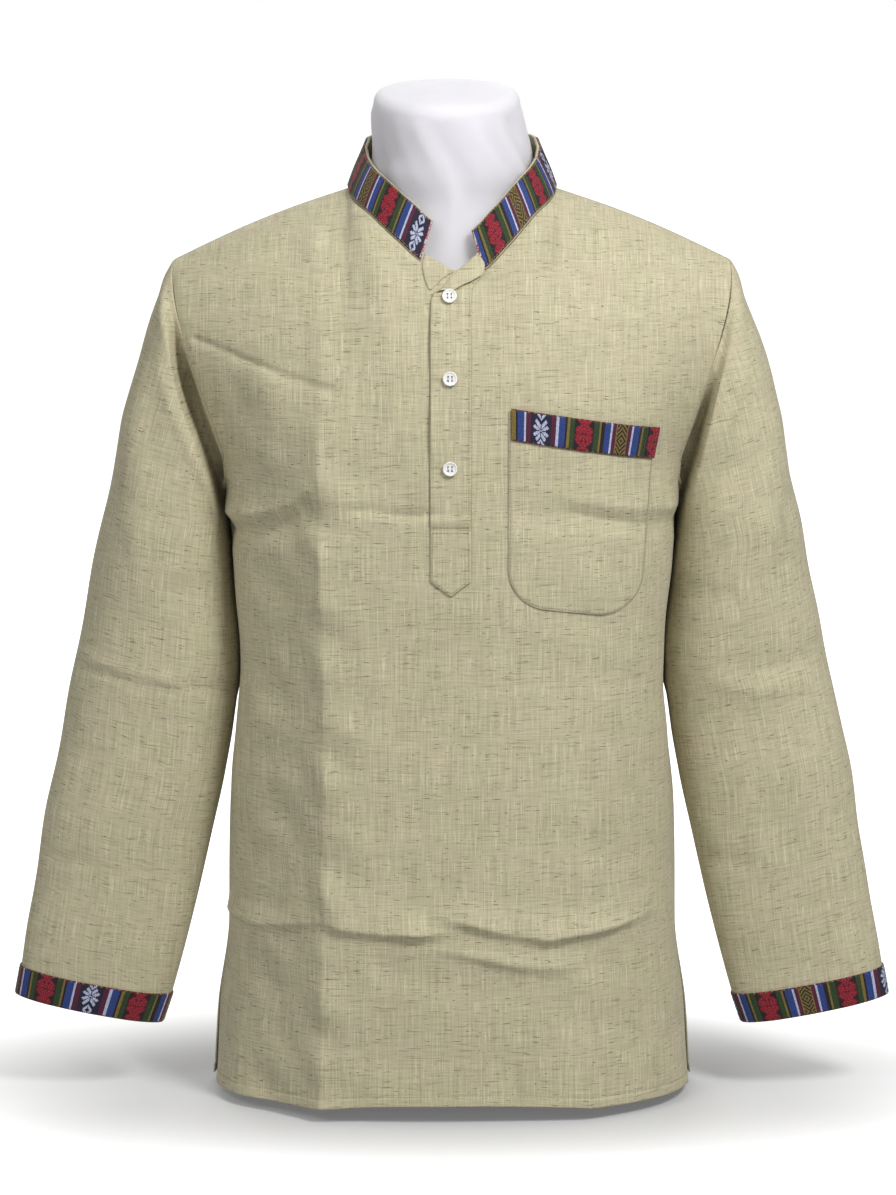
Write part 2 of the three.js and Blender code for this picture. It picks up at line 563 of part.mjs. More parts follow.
// The dress form: sections up the torso and neck, a rounded rim and a low crown that slopes forward.
function formGeometry() {
  const ring = (row, inset, lift) => Array.from({ length: FORM_SIDES }, (_, i) => {
    const angle = (i / FORM_SIDES) * 2 * Math.PI;
    const depth = Math.sin(angle) < 0 ? row.front : row.back;
    const x = (row.half - inset) * power(Math.cos(angle), 2 / row.square);
    const y = (depth - inset) * power(Math.sin(angle), 2 / row.square);
    const high = FORM[FORM.length - 1].height;
    const aside = CAP.aside * smooth(CAP.asideFrom, high, row.height);
    return vec(x + aside, y, row.height + lift + CAP.tilt * smooth(CAP.tiltFrom, high, row.height) * y);
  });
  const last = FORM[FORM.length - 1];
  const rim = [30, 60, 90].map((turn) =>
    ring(last, CAP.round * (1 - Math.cos(radians(turn))), CAP.round * Math.sin(radians(turn))));
  const rings = [...FORM.map((row) => ring(row, 0, 0)), ...rim];
  const points = [...rings.flat(), vec(0, 0, 0), vec(CAP.aside, 0, last.height + CAP.round + CAP.lift)];
  const [low, high] = [points.length - 2, points.length - 1];
  const at = (j, i) => j * FORM_SIDES + (i % FORM_SIDES);
  const top = rings.length - 1;
  const triangles = [];
  for (let i = 0; i < FORM_SIDES; i += 1) {
    for (let j = 0; j < top; j += 1) {
      triangles.push([at(j, i), at(j, i + 1), at(j + 1, i + 1)], [at(j, i), at(j + 1, i + 1), at(j + 1, i)]);
    }
    triangles.push([low, at(0, i + 1), at(0, i)], [at(top, i), at(top, i + 1), high]);
  }
  return geometryOf(points, triangles);
}

// A four-hole shirt button with a raised rim, turned round its own axis.
function buttonGeometry() {
  const { radius, edge, rim, dish, thick, hole, spread, sides } = BUTTON;
  const profile = [[0, 0], [radius - edge, 0], [radius, edge], [radius, thick - edge], [radius - edge, thick],
    [radius - rim, thick], [radius - rim - dish, thick - dish], [0, thick - dish]];
  const disc = new THREE.LatheGeometry(profile.map((p) => new THREE.Vector2(p[0], p[1])), sides);
  let solid = solidOf(disc);
  for (const x of [-spread, spread]) {
    for (const z of [-spread, spread]) {
      const drill = new THREE.CylinderGeometry(hole, hole, 3 * thick, 8).translate(x, 0, z);
      solid = solid.subtract(solidOf(drill));
    }
  }
  return geometryFrom(solid);
}

// The point of the front's outside, and its normal there, that is seen at x and a height from the front.
function frontAt(x, height) {
  const { outer, normals } = front;
  const flat = (p) => vec(p.x, 0, p.z);
  for (let j = 0; j < outer.length - 1; j += 1) {
    for (let i = 0; i < outer[0].length - 1; i += 1) {
      for (const corners of [[[j, i], [j, i + 1], [j + 1, i + 1]], [[j, i], [j + 1, i + 1], [j + 1, i]]]) {
        const points = corners.map(([r, c]) => outer[r][c]);
        const share = THREE.Triangle.getBarycoord(vec(x, 0, height), ...points.map(flat), vec(0, 0, 0));
        if (share && Math.min(share.x, share.y, share.z) >= 0) {
          const blend = (grid) => corners.reduce((sum, [r, c], k) =>
            sum.addScaledVector(grid[r][c], share.getComponent(k)), vec(0, 0, 0));
          return { point: blend(outer), normal: blend(normals).normalize() };
        }
      }
    }
  }
  throw new Error(`the front has no point at ${x}, ${height}`);
}

const finish = (color, roughness) => new THREE.MeshStandardMaterial({ color, roughness, metalness: 0 });
const slubCloth = () => finish("#b4af8d", 0.9);
const wovenTrim = () => finish("#5b2433", 0.85);
const buttonPlastic = () => finish("#ecebe7", 0.35);
const whiteJersey = () => finish("#e9e7ea", 0.8);

const garment = new THREE.Group();

function addPiece(name, geometry, material) {
  const mesh = new THREE.Mesh(geometry, material);
  mesh.name = name;
  garment.add(mesh);
  return mesh;
}

addPiece("form", formGeometry(), whiteJersey());
addPiece("front_panel", clothWall(front, CLOTH), slubCloth());
addPiece("back_panel", clothWall(back, CLOTH), slubCloth());
for (const [name, side] of [["left", 1], ["right", -1]]) {
  addPiece(`sleeve_${name}`, sleeveWall(side, 0, -CLOTH, 0), slubCloth());
  addPiece(`cuff_trim_${name}`, sleeveWall(side, sleeve.outer.length - 2, GAP, GAP + TRIM), wovenTrim());
}

const collar = collarGrid();
addPiece("collar", clothWall(collar, BAND), slubCloth());
addPiece("collar_trim", collarTrim(collar), wovenTrim());

addPiece("placket", onFront(PLACKET, GAP, CLOTH), slubCloth());
addPiece("under_placket", onFront(UNDER_PLACKET, GAP, CLOTH), slubCloth());
addPiece("pocket", onFront(pocketOutline(), GAP, CLOTH), slubCloth());
addPiece("pocket_trim", onFront(pocketTrimOutline(), GAP + CLOTH + GAP, TRIM), wovenTrim());

for (const { name, x, height } of BUTTONS) {
  const { point, normal } = frontAt(x, height);
  const button = addPiece(name, buttonGeometry(), buttonPlastic());
  button.position.copy(point).addScaledVector(normal, GAP + CLOTH + BUTTON.off);
  button.quaternion.setFromUnitVectors(vec(0, 1, 0), normal);
}

export default garment;
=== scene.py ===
"""A short kurta worn by a limbless dress form: its cloth, woven trims, sewing, buttons and finishes.

Tables and sizes are in millimetres, and meshes are in metres. +Z is up, the front faces -Y and the
garment's left is at +X. Every piece of cloth is worked out from the same tables as its solid.
"""

import math
from functools import lru_cache

import bpy
import numpy as np
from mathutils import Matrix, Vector


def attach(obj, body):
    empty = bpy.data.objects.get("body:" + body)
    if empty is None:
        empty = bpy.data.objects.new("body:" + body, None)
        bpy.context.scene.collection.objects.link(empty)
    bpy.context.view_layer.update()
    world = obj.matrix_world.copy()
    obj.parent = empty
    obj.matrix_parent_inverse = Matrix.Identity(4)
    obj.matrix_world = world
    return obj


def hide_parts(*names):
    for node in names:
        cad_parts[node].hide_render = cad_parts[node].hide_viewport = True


bl_info = {
    "name": "Short kurta on a dress form",
    "version": (1, 0, 0),
    "blender": (4, 5, 0),
    "location": "View3D > Sidebar > Kurta",
    "description": "Cloth, woven trims, sewing, buttons and dress form of a short kurta",
    "category": "Object",
}

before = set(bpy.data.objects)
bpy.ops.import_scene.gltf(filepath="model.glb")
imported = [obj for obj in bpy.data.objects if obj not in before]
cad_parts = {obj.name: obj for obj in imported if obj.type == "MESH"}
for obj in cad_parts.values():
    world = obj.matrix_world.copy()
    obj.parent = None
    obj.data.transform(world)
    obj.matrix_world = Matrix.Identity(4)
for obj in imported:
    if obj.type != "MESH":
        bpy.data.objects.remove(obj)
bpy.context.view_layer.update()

MM = 0.001
BODY_NAME = "root"


def table(names, *rows):
    """A short table: one dict for each row, with named columns."""
    return [dict(zip(names.split(), row)) for row in rows]


# --- Sizes of the garment ---------------------------------------------------------------------------

CLOTH = 1.3  # wall of the slub cloth
BAND = 2.0  # wall of the collar band, two layers
TRIM = 1.0  # wall of the woven trim
GAP = 0.3  # space between pieces that lie on each other
SEAM = 0.2  # half the space between pieces that are sewn edge to edge
JOIN = 0.55  # space where a sleeve or the collar leaves its seam
HEM = 14  # height of the hem's middle
ARMPIT = 470
CHEST = 500  # height where the panels leave the straight sections for the shoulder
NECK = {"half": 79, "y": -14, "front": 76, "back": 78}
LAP = {"drop": 7, "from": 18, "to": 60}
NOTCH = {"y": -90, "height": 645}
SHOULDER_TIP = {"x": 210.5, "y": -12, "height": 646, "bow": 3.5}
SLIT = {"height": 130, "front": 5, "back": 9, "flare": 3}
HEM_DIP = {"crease": 4, "crease_at": 0.34, "corner": 8, "fade": 70}
NECK_COLUMN = 0.241
COLLAR_START = 0.053

BODY = table(
    "height half core front back square",
    (14, 183.5, 180, 126, 118, 2.5),
    (66, 180.7, 174, 125, 117, 2.5),
    (130, 173.5, 169, 124, 116, 2.5),
    (178, 173, 168, 123, 115, 2.5),
    (226, 171.7, 168, 122, 113, 2.5),
    (285, 165.3, 168, 121, 111, 2.5),
    (330, 161, 168.5, 121, 110, 2.5),
    (352, 161.2, 169.5, 121, 110, 2.5),
    (414, 166.5, 172, 122, 112, 2.5),
    (460, 171.5, 174, 122, 115, 2.5),
    (500, 177.5, 176, 121, 117, 2.5),
)
REACH = table("height reach", (470, 1), (478, 0.9), (500, 0.84))
NECKLINE = table(
    "turn height",
    (0, 641), (17, 650), (31, 665), (54, 685), (75, 694.5), (90, 700), (120, 705), (180, 703),
)
RISE_COLUMNS = "u leave_x leave_y leave_z arrive_x arrive_y arrive_z"
FRONT_RISE = table(
    RISE_COLUMNS,
    (0, 0, 0, 62, 0, -98, -40),
    (0.13, 0, -1, 70, -1, -92, -34),
    (0.241, 0, -2, 80, -2, -74, -26),
    (0.55, 4, -6, 84, -4, -54, -16),
    (1, 12, -18, 45, 6, -42, -33),
)
BACK_RISE = table(
    RISE_COLUMNS,
    (0, 0, 4, 100, 0, 116, -24),
    (0.13, 0, 4, 101, -1, 111, -18),
    (0.241, 0, 4, 102, -2, 98, -5),
    (0.55, 4, 8, 98, -4, 86, -4),
    (1, 12, 18, 50, 6, 60, -22),
)
SLEEVE = table(
    "outer_z inner_z outer_x inner_x depth square y",
    (470, 446, 261.5, 174.5, 60, 2.2, 0),
    (442, 419, 268, 171.5, 58.5, 2.2, 0),
    (414, 392, 274, 170, 57, 2.2, 0),
    (367, 345, 284, 165.5, 52, 2.2, -1),
    (320, 298, 293.5, 167.5, 46, 2.2, -2),
    (273, 250, 302.5, 175, 41, 2.2, -4),
    (226, 203, 312, 185.5, 37, 2.2, -6),
    (178, 155, 320, 196.5, 33, 2.2, -8),
    (131, 108, 329, 208.5, 29, 2.2, -10),
    (98, 76, 334.5, 217.5, 26, 2.2, -11),
    (75.5, 53, 338.6, 225.5, 23, 2.2, -12),
)
TUBE_ROWS, CUFF_ROWS = 112, 10  # rows of mesh down the sleeve, and between its last two rings
CAP_LEAVE = table(
    "turn x y z pull",
    (0, 0.45, 0, -0.89, 0.35),
    (90, 0.82, -0.35, -0.45, 0.3),
    (180, 0.1, 0, -1, 0.3),
    (270, 0.82, 0.35, -0.45, 0.3),
    (360, 0.45, 0, -0.89, 0.35),
)
CAP_FOLD = {"valley": -2.5, "valley_at": 10, "ridge": 1.5, "ridge_at": 30, "width": 8, "back_share": 0.8}
COLLAR_LEAN = table(
    "turn x y z",
    (15, -9, 13, 29), (31, -11, 12, 28), (54, -11, 14, 27), (75, -13, 12, 28),
    (90, -13, 8, 31), (120, -9, 0, 33), (150, -4, -5, 33), (180, 0, -8, 33),
)
COLLAR_TRIM_SPAN = (0.025, 0.97)  # shares of the band's height that the trim covers
FORM = table(
    "height half front back square",
    (0, 126, 36, 64, 2.4),
    (12, 163, 104, 100, 2.4),
    (60, 165, 106, 103, 2.4),
    (150, 160, 104, 102, 2.3),
    (240, 150, 100, 92, 2.3),
    (310, 144, 98, 86, 2.3),
    (370, 147, 103, 90, 2.3),
    (440, 157, 111, 99, 2.3),
    (500, 164, 113, 106, 2.2),
    (550, 172, 104, 104, 2.1),
    (590, 184, 94, 99, 2),
    (615, 194, 86, 93, 1.85),
    (632, 199, 81, 88, 1.7),
    (645, 195, 75, 82, 1.58),
    (658, 173, 71.5, 76, 1.5),
    (672, 143, 68, 68, 1.42),
    (684, 112.3, 65.5, 59, 1.42),
    (695, 79.6, 64, 52, 1.6),
    (705, 66.5, 63, 52, 1.9),
    (716, 62, 62.3, 51.5, 2.1),
    (736, 58.5, 62, 51, 2.1),
    (764, 55.5, 60.5, 49, 2.1),
)
CAP = {"lift": 3, "round": 9, "tilt": 0.155, "tilt_from": 705, "aside": -4, "aside_from": 722}

PLACKET_EDGES = table(  # the placket's two edges, from its point up to the neckline
    "left_x left_z right_x right_z",
    (-1.4, 404, -0.6, 404),
    (-16.4, 415, 14, 415),
    (-16.4, 500, 14, 500),
    (-16.1, 608, 14, 608),
    (-15.9, 622, 14, 624),
    (-14.2, 627.5, 14.5, 630),
    (-10.1, 629.2, 17, 634),
    (-5.3, 633.7, 20.5, 637.5),
    (2.1, 642, 24, 641),
    (6.6, 645.4, 24.8, 643.5),
)
LAPEL_EDGES = table(  # the placket's folded-over top corner: its fold, and its free edge below
    "left_x left_z right_x right_z",
    (-14.2, 628.2, -13.4, 627.9),
    (-10.1, 629.3, -8.3, 628.9),
    (-5.3, 633.8, 0.8, 629.1),
    (2.1, 642.1, 7.3, 632.6),
    (6.6, 645.7, 13.7, 635),
    (11, 649, 21.7, 639.1),
    (18.4, 655.6, 24.4, 645.6),
)
UNDER_EDGES = table(  # what shows of the lower placket, from its low corner up to the neckline
    "left_x left_z right_x right_z",
    (-17.2, 630.4, -15.4, 630.6),
    (-19.4, 635, -11.5, 634),
    (-21.3, 640.5, -8, 637.6),
    (-22.4, 646.5, -3.5, 640.8),
    (-22.2, 651.5, 0, 642.2),
    (-20.2, 656, 1.4, 643.2),
)
POCKET = {"left": 41.5, "right": 144, "top": 543, "fall": 21, "bottom": 393, "corner": 31, "lean": 7}
POCKET_LAYER = {"cloth": 0.8, "ribbon": 1.2, "stitches": 1.3}  # how thick it is, and what lies how high
PLACKET_LAYER = {"cloth": 1.5, "stitches": 1.55}
POCKET_TRIM = {"left": 43.5, "right": 154, "top": 544.5, "fall": 18.5, "height": 23.5, "slant": 4.5}
BUTTONS = table("name x height", ("button_top", -2, 625), ("button_middle", -1.6, 566),
                ("button_low", -1.6, 500))
BUTTON = {"off": 0.55, "radius": 5.4, "thick": 2.4, "rim": 1.1, "dish": 0.7, "hole": 0.75, "spread": 1.45}

# Creases: how far each moves the cloth out, its reach before and after the line seen from outside,
# its profile (0 a soft wave, 1 a sharp pressed line, 2 a flattened plane), the share of its length
# over which each end fades, and its line.
CREASE_COLUMNS = "rise before after profile ends path"
FRONT_CREASES = table(
    CREASE_COLUMNS,
    (7.5, 50, 58, 1, 0.1, ((-101, -90), (-95, 100), (-93, 173), (-93.5, 325), (-96.5, 491), (-98, 560))),
    (-5.2, 34, 34, 2, 0.13, ((-133, -90), (-131, 100), (-129, 325), (-132, 480), (-133, 520))),
    (2.6, 30, 30, 1, 0.2, ((-96.5, 470), (-99, 600), (-103, 690))),
    (3.4, 52, 46, 1, 0.14, ((104, -90), (104, 172), (108, 325), (112, 480), (114, 590))),
    (-0.9, 3.2, 4, 1, 0.1, ((106, -60), (106, 172), (110, 325), (114, 480))),
    (3.2, 20, 6, 1, 0.06, ((-182, 147), (-166, 143), (-150, 143), (-125, 148), (-95, 155))),
    (5.0, 24, 8, 1, 0.3, ((-114, 161), (-97, 156), (-82, 150), (-52, 147), (6, 147))),
    (5.6, 24, 8, 1, 0.22, ((-24, 163), (6, 157), (40, 148), (70, 142), (104, 146), (166, 156))),
    (2.6, 11, 6, 1, 0.25, ((-20, 138), (10, 131), (40, 124), (72, 119), (104, 121))),
    (-1.6, 12, 14, 0, 0.25, ((-90, 128), (-30, 118), (40, 104), (100, 108))),
    (3.8, 22, 12, 1, 0.14, ((-180, 453), (-163, 457), (-140, 463), (-118, 473), (-98, 486))),
    (-4.4, 12, 18, 1, 0.14, ((-182, 439), (-163, 443), (-140, 449), (-118, 459), (-97, 473))),
    (1.6, 14, 20, 0, 0.2, ((-165, 436), (-130, 446), (-100, 462))),
    (-1.9, 8, 6, 1, 0.25, ((-92, 467), (-60, 468), (-39, 464), (4, 467))),
    (-1.4, 11, 9, 0, 0.3, ((30, 468), (70, 462), (110, 466))),
    (2.6, 20, 11, 1, 0.16, ((76, 480), (108, 472), (138, 466), (178, 460))),
    (-2.8, 11, 16, 1, 0.14, ((80, 468), (110, 460), (140, 454), (179, 448))),
    (-2.5, 4, 6.5, 1, 0.1, ((-201, 592), (-183, 587), (-160, 578), (-125, 567), (-89, 556), (-80, 553))),
    (0.8, 12, 10, 0, 0.25, ((-190, 580), (-150, 562), (-100, 541))),
    (-2.0, 14, 12, 0, 0.25, ((-168, 590), (-160, 560), (-152, 520))),
    (1.8, 16, 20, 0, 0.25, ((-150, 575), (-136, 530), (-132, 480))),
    (-1.0, 13, 13, 0, 0.25, ((-112, 640), (-112, 560), (-114, 490))),
    (-2.2, 12, 14, 0, 0.3, ((-48, 690), (-40, 664), (-28, 646), (-18, 630))),
    (2.0, 16, 24, 0, 0.3, ((138, 640), (150, 570), (152, 500))),
    (-2.0, 20, 20, 0, 0.3, ((62, 660), (90, 640), (120, 640))),
)
BACK_CREASES = table(
    CREASE_COLUMNS,
    (3.6, 16, 24, 1, 0.15, ((-104, -40), (-102, 300), (-106, 600))),
    (3.6, 24, 16, 1, 0.15, ((101, -40), (99, 300), (103, 600))),
    (3.0, 10, 10, 0, 0.12, ((-160, 150), (-40, 146), (70, 144), (160, 150))),
    (2.2, 12, 10, 0, 0.25, ((-160, 455), (-60, 462), (60, 460), (160, 452))),
    (4.0, 18, 22, 0, 0.3, ((-150, 640), (-120, 560), (-80, 480))),
    (3.4, 20, 16, 0, 0.3, ((150, 630), (112, 560), (84, 470))),
    (-2.6, 14, 18, 0, 0.3, ((-60, 330), (0, 322), (70, 330))),
)

# Threads of the woven trim.
THREAD_COLOURS = {
    "k": "#1a1215", "w": "#adb3cc", "r": "#7f0f22", "p": "#a93448", "m": "#4f1631", "g": "#75642f",
    "e": "#283b1d", "b": "#263b79", "n": "#1d1930", "c": "#cdb9a2",
}
TRIM_CELL = 0.75  # one thread of the trim; a real one is half this, too fine to show
# The repeat of the trim: a thread colour and its number of cells, or a motif.
STRIPES = (
    ("white", 0), ("m", 5), ("w", 3), ("b", 7), ("k", 2), ("g", 3), ("e", 5),
    ("red", 0), ("e", 6), ("g", 2), ("k", 4), ("b", 6), ("w", 2), ("m", 4),
    ("gold", 0), ("m", 4), ("w", 2), ("b", 7), ("k", 2), ("g", 2), ("e", 5),
    ("red", 0), ("e", 6), ("g", 2), ("k", 2), ("b", 7), ("w", 2), ("m", 5),
)
COLLAR_CELLS = 687  # a count that ends inside the white motif
# Left halves of the trim's motifs from the top down; each row is mirrored about its last thread.
MOTIFS = {
    "white": (
        "nnnnnnnwwnnn", "nnnnnnnwwwnn", "nnnnnnnnwwwn", "nnnnnnnnnwwn", "nnnnnnnnnnww", "nnnnnnwnnnnw",
        "nnnnnwwwnnnn", "nnnnnwwwwnnn", "nnnnnnwwwwnn", "nnnnnnnwwwwn", "nnnnwwnnwwwn", "nnnwwwwwnwwn",
        "nnnnwwwwwnwn", "nnnnnnwwwwnn", "nnnnnnnnnnww", "nnnnnnwwwwnn", "nnnnwwwwwnwn", "nnnwwwwwnwwn",
        "nnnnwwnnwwwn", "nnnnnnnwwwwn", "nnnnnnwwwwnn", "nnnnnnwwwnnw", "nnnnnnnwnnww", "nnnnnnnnnwwn",
        "nnnnnnnnwwwn", "nnnnnnnwwwnn",
    ),
    "red": (
        "kkrrrrrrrrr", "kkkrrprrrrp", "kkkkrrrrprr", "kkkkkrrrrrr", "kkkkkkrrrrp", "kkkkkrrprrr",
        "kkkrrrrrrrr", "kkrrrprrrrp", "krrrrrrrprr", "krrprrrrrrr", "krrrrrprrrp", "kkrrrrrrrkr",
        "kkkrrrrrkkr", "krrrrrrrrrp", "krrrprrprrr", "kkrrrrrrrrr", "krrrrrprrrp", "krrprrrrkrr",
        "kkrrrrrkkrr", "kkkrrprrrrp", "kkkkrrrrrrr", "kkkkkkrrprr", "kkkkkkkrrrr", "kkkkkrrrrrp",
        "kkkkrrrprrr", "kkkrrrrrrrr",
    ),
    "gold": [
        "".join("g" if c == 0 or (c + min(r, 26 - r)) % 4 < 2 else "k" for c in range(7))
        for r in range(26)
    ],
}


# --- Small helpers ----------------------------------------------------------------------------------

def smooth(low, high, value):
    t = np.clip((np.asarray(value, float) - low) / (high - low), 0, 1)
    return t * t * (3 - 2 * t)


def power(value, exponent):
    return np.sign(value) * np.abs(value) ** exponent


def unit(v):
    return v / np.maximum(np.linalg.norm(v, axis=-1, keepdims=True), 1e-12)


def stack(*parts):
    return np.stack(np.broadcast_arrays(*[np.asarray(p, float) for p in parts]), -1)


def along(rows, key, column, at):
    """A smooth curve through one column of a table, with no overshoot between its rows."""
    xs = np.array([row[key] for row in rows], float)
    ys = np.array([row[column] for row in rows], float)
    step = np.diff(xs)
    rise = np.diff(ys) / step
    slope = np.zeros(len(xs))
    slope[0], slope[-1] = rise[0], rise[-1]
    product = rise[:-1] * rise[1:]
    total = np.where(product > 0, rise[:-1] + rise[1:], 1)
    slope[1:-1] = np.where(product > 0, 2 * product / total, 0)
    at = np.clip(np.asarray(at, float), xs[0], xs[-1])
    i = np.clip(np.searchsorted(xs, at, side="right") - 1, 0, len(xs) - 2)
    s = (at - xs[i]) / step[i]
    ends = ys[i] + (ys[i + 1] - ys[i]) * s * s * (3 - 2 * s)
    return ends + step[i] * s * (1 - s) * (slope[i] * (1 - s) - slope[i + 1] * s)


def bezier(a, b, c, d, t):
    s = 1 - t
    return a * s**3 + b * 3 * s * s * t + c * 3 * s * t * t + d * t**3


def linear(code):
    """An sRGB hex colour as linear red, green and blue."""
    parts = [int(code[i:i + 2], 16) / 255 for i in (1, 3, 5)]
    return [c / 12.92 if c <= 0.04045 else ((c + 0.055) / 1.055) ** 2.4 for c in parts]


def grid_normals(grid, wrap=False):
    """Outward normals of a grid of points, rows by columns."""
    up = np.gradient(grid, axis=0)
    if wrap:
        across = np.roll(grid, -1, 1) - np.roll(grid, 1, 1)
    else:
        across = np.gradient(grid, axis=1)
    return unit(np.cross(across, up))


def run_length(points, axis):
    """Distance along a grid's rows or columns, from the first point."""
    steps = np.linalg.norm(np.diff(points, axis=axis), axis=-1)
    pad = [(0, 0)] * steps.ndim
    pad[axis] = (1, 0)
    return np.pad(np.cumsum(steps, axis=axis), pad)


def resampled(points, count):
    """The same line with its points at equal distances."""
    run = run_length(points, 0)
    at = np.linspace(0, run[-1], count)
    return np.stack([np.interp(at, run, points[:, k]) for k in range(points.shape[1])], -1)


def near_path(x, z, path):
    """Signed distance from a line, positive after it (to its right), and the share of the way along."""
    path = np.array(path, float)
    lengths = np.linalg.norm(np.diff(path, axis=0), axis=1)
    starts = np.concatenate([[0], np.cumsum(lengths)[:-1]])
    best = np.full(np.shape(x), 1e9)
    side = np.zeros(np.shape(x))
    share = np.zeros(np.shape(x))
    for (ax, az), (bx, bz), length, start in zip(path[:-1], path[1:], lengths, starts):
        dx, dz = (bx - ax) / length, (bz - az) / length
        t = np.clip((x - ax) * dx + (z - az) * dz, 0, length)
        ox, oz = x - ax - t * dx, z - az - t * dz
        far = np.hypot(ox, oz)
        closer = far < best
        best = np.where(closer, far, best)
        side = np.where(closer, np.sign(ox * dz - oz * dx), side)
        share = np.where(closer, (start + t) / lengths.sum(), share)
    return best * side, share


def crease_rise(x, z, creases):
    """How far a set of creases moves the cloth out at a place seen from the front."""
    total = np.zeros(np.shape(x))
    for crease in creases:
        far, share = near_path(x, z, crease["path"])
        reach = np.where(far > 0, crease["after"], crease["before"])
        ratio = np.abs(far) / reach
        fall = (np.exp(-(ratio**2)), np.clip(1 - ratio, 0, 1) ** 1.5,
                np.clip(1 - ratio**2, 0, 1))[crease["profile"]]
        ends = crease["ends"]
        fade = smooth(0, ends, share) * (1 - smooth(1 - ends, 1, share))
        uneven = 1 + 0.3 * np.sin(x / 11 + z / 9) * np.sin(x / 27 - z / 31 + 1.3)
        total += crease["rise"] * fall * fade * uneven
    return total


def sway(x, z, seed, depth=0.5):
    """Slight unevenness of hanging cloth: a few long waves with no common period."""
    rng = np.random.default_rng(seed)
    total = np.zeros(np.shape(x))
    for length in (210, 140, 95, 61):
        angle, phase = rng.uniform(0, math.pi), rng.uniform(0, 2 * math.pi)
        total += length / 140 * np.sin((x * math.cos(angle) + z * math.sin(angle)) / length * 6.283 + phase)
    return depth * total


# --- Forms of the cloth -----------------------------------------------------------------------------

def section_point(side, u, height):
    """Below the chest: a point of a panel (side -1 is the front) at column u and a height."""
    s = np.abs(u)
    exponent = 2 / along(BODY, "height", "square", height)
    turn = (s - (1 - along(REACH, "height", "reach", height)) * s**4) * np.pi / 2
    core = along(BODY, "height", "core", height)
    half = along(BODY, "height", "half", height)
    depth = along(BODY, "height", "front" if side < 0 else "back", height)
    parted = np.maximum(0, (SLIT["height"] - height) / (SLIT["height"] - HEM)) * s**8
    flare = SLIT["flare"] if side > 0 else 0
    x = core * np.sin(turn) ** exponent + (half - core) * s**4 + flare * parted
    y = depth * np.maximum(0, np.cos(turn)) ** exponent + SLIT["front" if side < 0 else "back"] * parted
    crease = HEM_DIP["crease"]
    dip = crease * np.minimum(1, s / HEM_DIP["crease_at"]) ** 2 + (HEM_DIP["corner"] - crease) * s**3
    return stack(np.sign(u) * x, side * y, height - dip * (1 - smooth(HEM, HEM_DIP["fade"], height)))


def neckline_point(turn, lap):
    """The neckline, by the turn in degrees from the front's middle; lap is 1 on the left side."""
    angle = np.radians(turn)
    reach = np.where(np.asarray(turn) < 90, NECK["front"], NECK["back"])
    drop = lap * LAP["drop"] * (1 - smooth(LAP["from"], LAP["to"], turn))
    height = along(NECKLINE, "turn", "height", turn) - drop
    return stack(NECK["half"] * np.sin(angle), NECK["y"] - reach * np.cos(angle), height)


def top_point(side, u):
    """Where column u of a panel ends: on the open V, the neckline or the shoulder seam."""
    u = np.asarray(u, float)
    chest = np.abs(section_point(side, u, CHEST)[..., 0])
    neck_chest = section_point(side, NECK_COLUMN, CHEST)[..., 0]
    tip_chest = section_point(side, 1.0, CHEST)[..., 0]
    lap = np.where(u > 0, 1, 0)

    def turn_at(across):
        return np.degrees(np.arcsin(np.clip(across / NECK["half"], 0, 1)))

    x = np.minimum(1, chest / neck_chest) * NECK["half"]
    point = neckline_point(turn_at(x) if side < 0 else 180 - turn_at(x), lap)
    share = np.clip((chest - neck_chest) / (tip_chest - neck_chest), 0, 1)[..., None]
    tip = np.array([SHOULDER_TIP["x"], SHOULDER_TIP["y"], SHOULDER_TIP["height"]], float)
    shoulder = neckline_point(np.full(u.shape, 90.0), lap) * (1 - share) + tip * share
    shoulder[..., 2] += SHOULDER_TIP["bow"] * np.sin(np.pi * share[..., 0])
    point = np.where((chest > neck_chest + 0.01)[..., None], shoulder, point)
    if side < 0:
        notch_half = section_point(side, COLLAR_START, CHEST)[..., 0] / neck_chest * NECK["half"]
        edge = neckline_point(np.full(u.shape, turn_at(notch_half)), lap)
        notch = np.array([0, NOTCH["y"], NOTCH["height"]], float)
        open_v = notch + (edge - notch) * (x / notch_half)[..., None]
        open_v[..., 0] = x
        point = np.where((x < notch_half)[..., None], open_v, point)
    point[..., 0] *= np.sign(u)
    return point


def rise_point(side, u, share):
    """Above the chest: share 0 is the chest and 1 the top edge of the panel."""
    rows = FRONT_RISE if side < 0 else BACK_RISE
    s = np.abs(u)
    leave = stack(*(along(rows, "u", f"leave_{k}", s) for k in "xyz"))
    arrive = stack(*(along(rows, "u", f"arrive_{k}", s) for k in "xyz"))
    leave[..., 0] *= np.sign(u)
    arrive[..., 0] *= np.sign(u)
    start = section_point(side, u, CHEST)
    end = top_point(side, u)
    before = end + arrive
    before[..., 1] = NECK["y"] + arrive[..., 1]
    return bezier(start, start + leave, before, end, share[..., None])


def column_shares(count, near=()):
    """Columns from the middle of a panel to its side, closer together beside the places given."""
    u = np.linspace(0, 1, 2001)
    weight = np.ones_like(u)
    for place, extra, width in near:
        weight += extra * np.exp(-(((u - place) / width) ** 2))
    run = np.concatenate([[0], np.cumsum((weight[1:] + weight[:-1]) / 2)])
    return np.interp(np.linspace(0, run[-1], count), run, u)


def with_exact(values, *exact):
    """The values, with the nearest one to each exact place moved onto it."""
    values = np.array(values, float)
    for place in exact:
        values[np.argmin(np.abs(values - place))] = place
    return values


HEM_DEPTH = 8.0  # the turned hem
HEM_ROWS = (HEM, HEM + 1, HEM + 2.6, HEM + 5, HEM + 7, HEM + 7.6, HEM_DEPTH + HEM, HEM + 8.5, HEM + 9.4,
            HEM + 11.5)


HEM_STITCH = 0.35  # how far the needle draws the cloth in along the hem
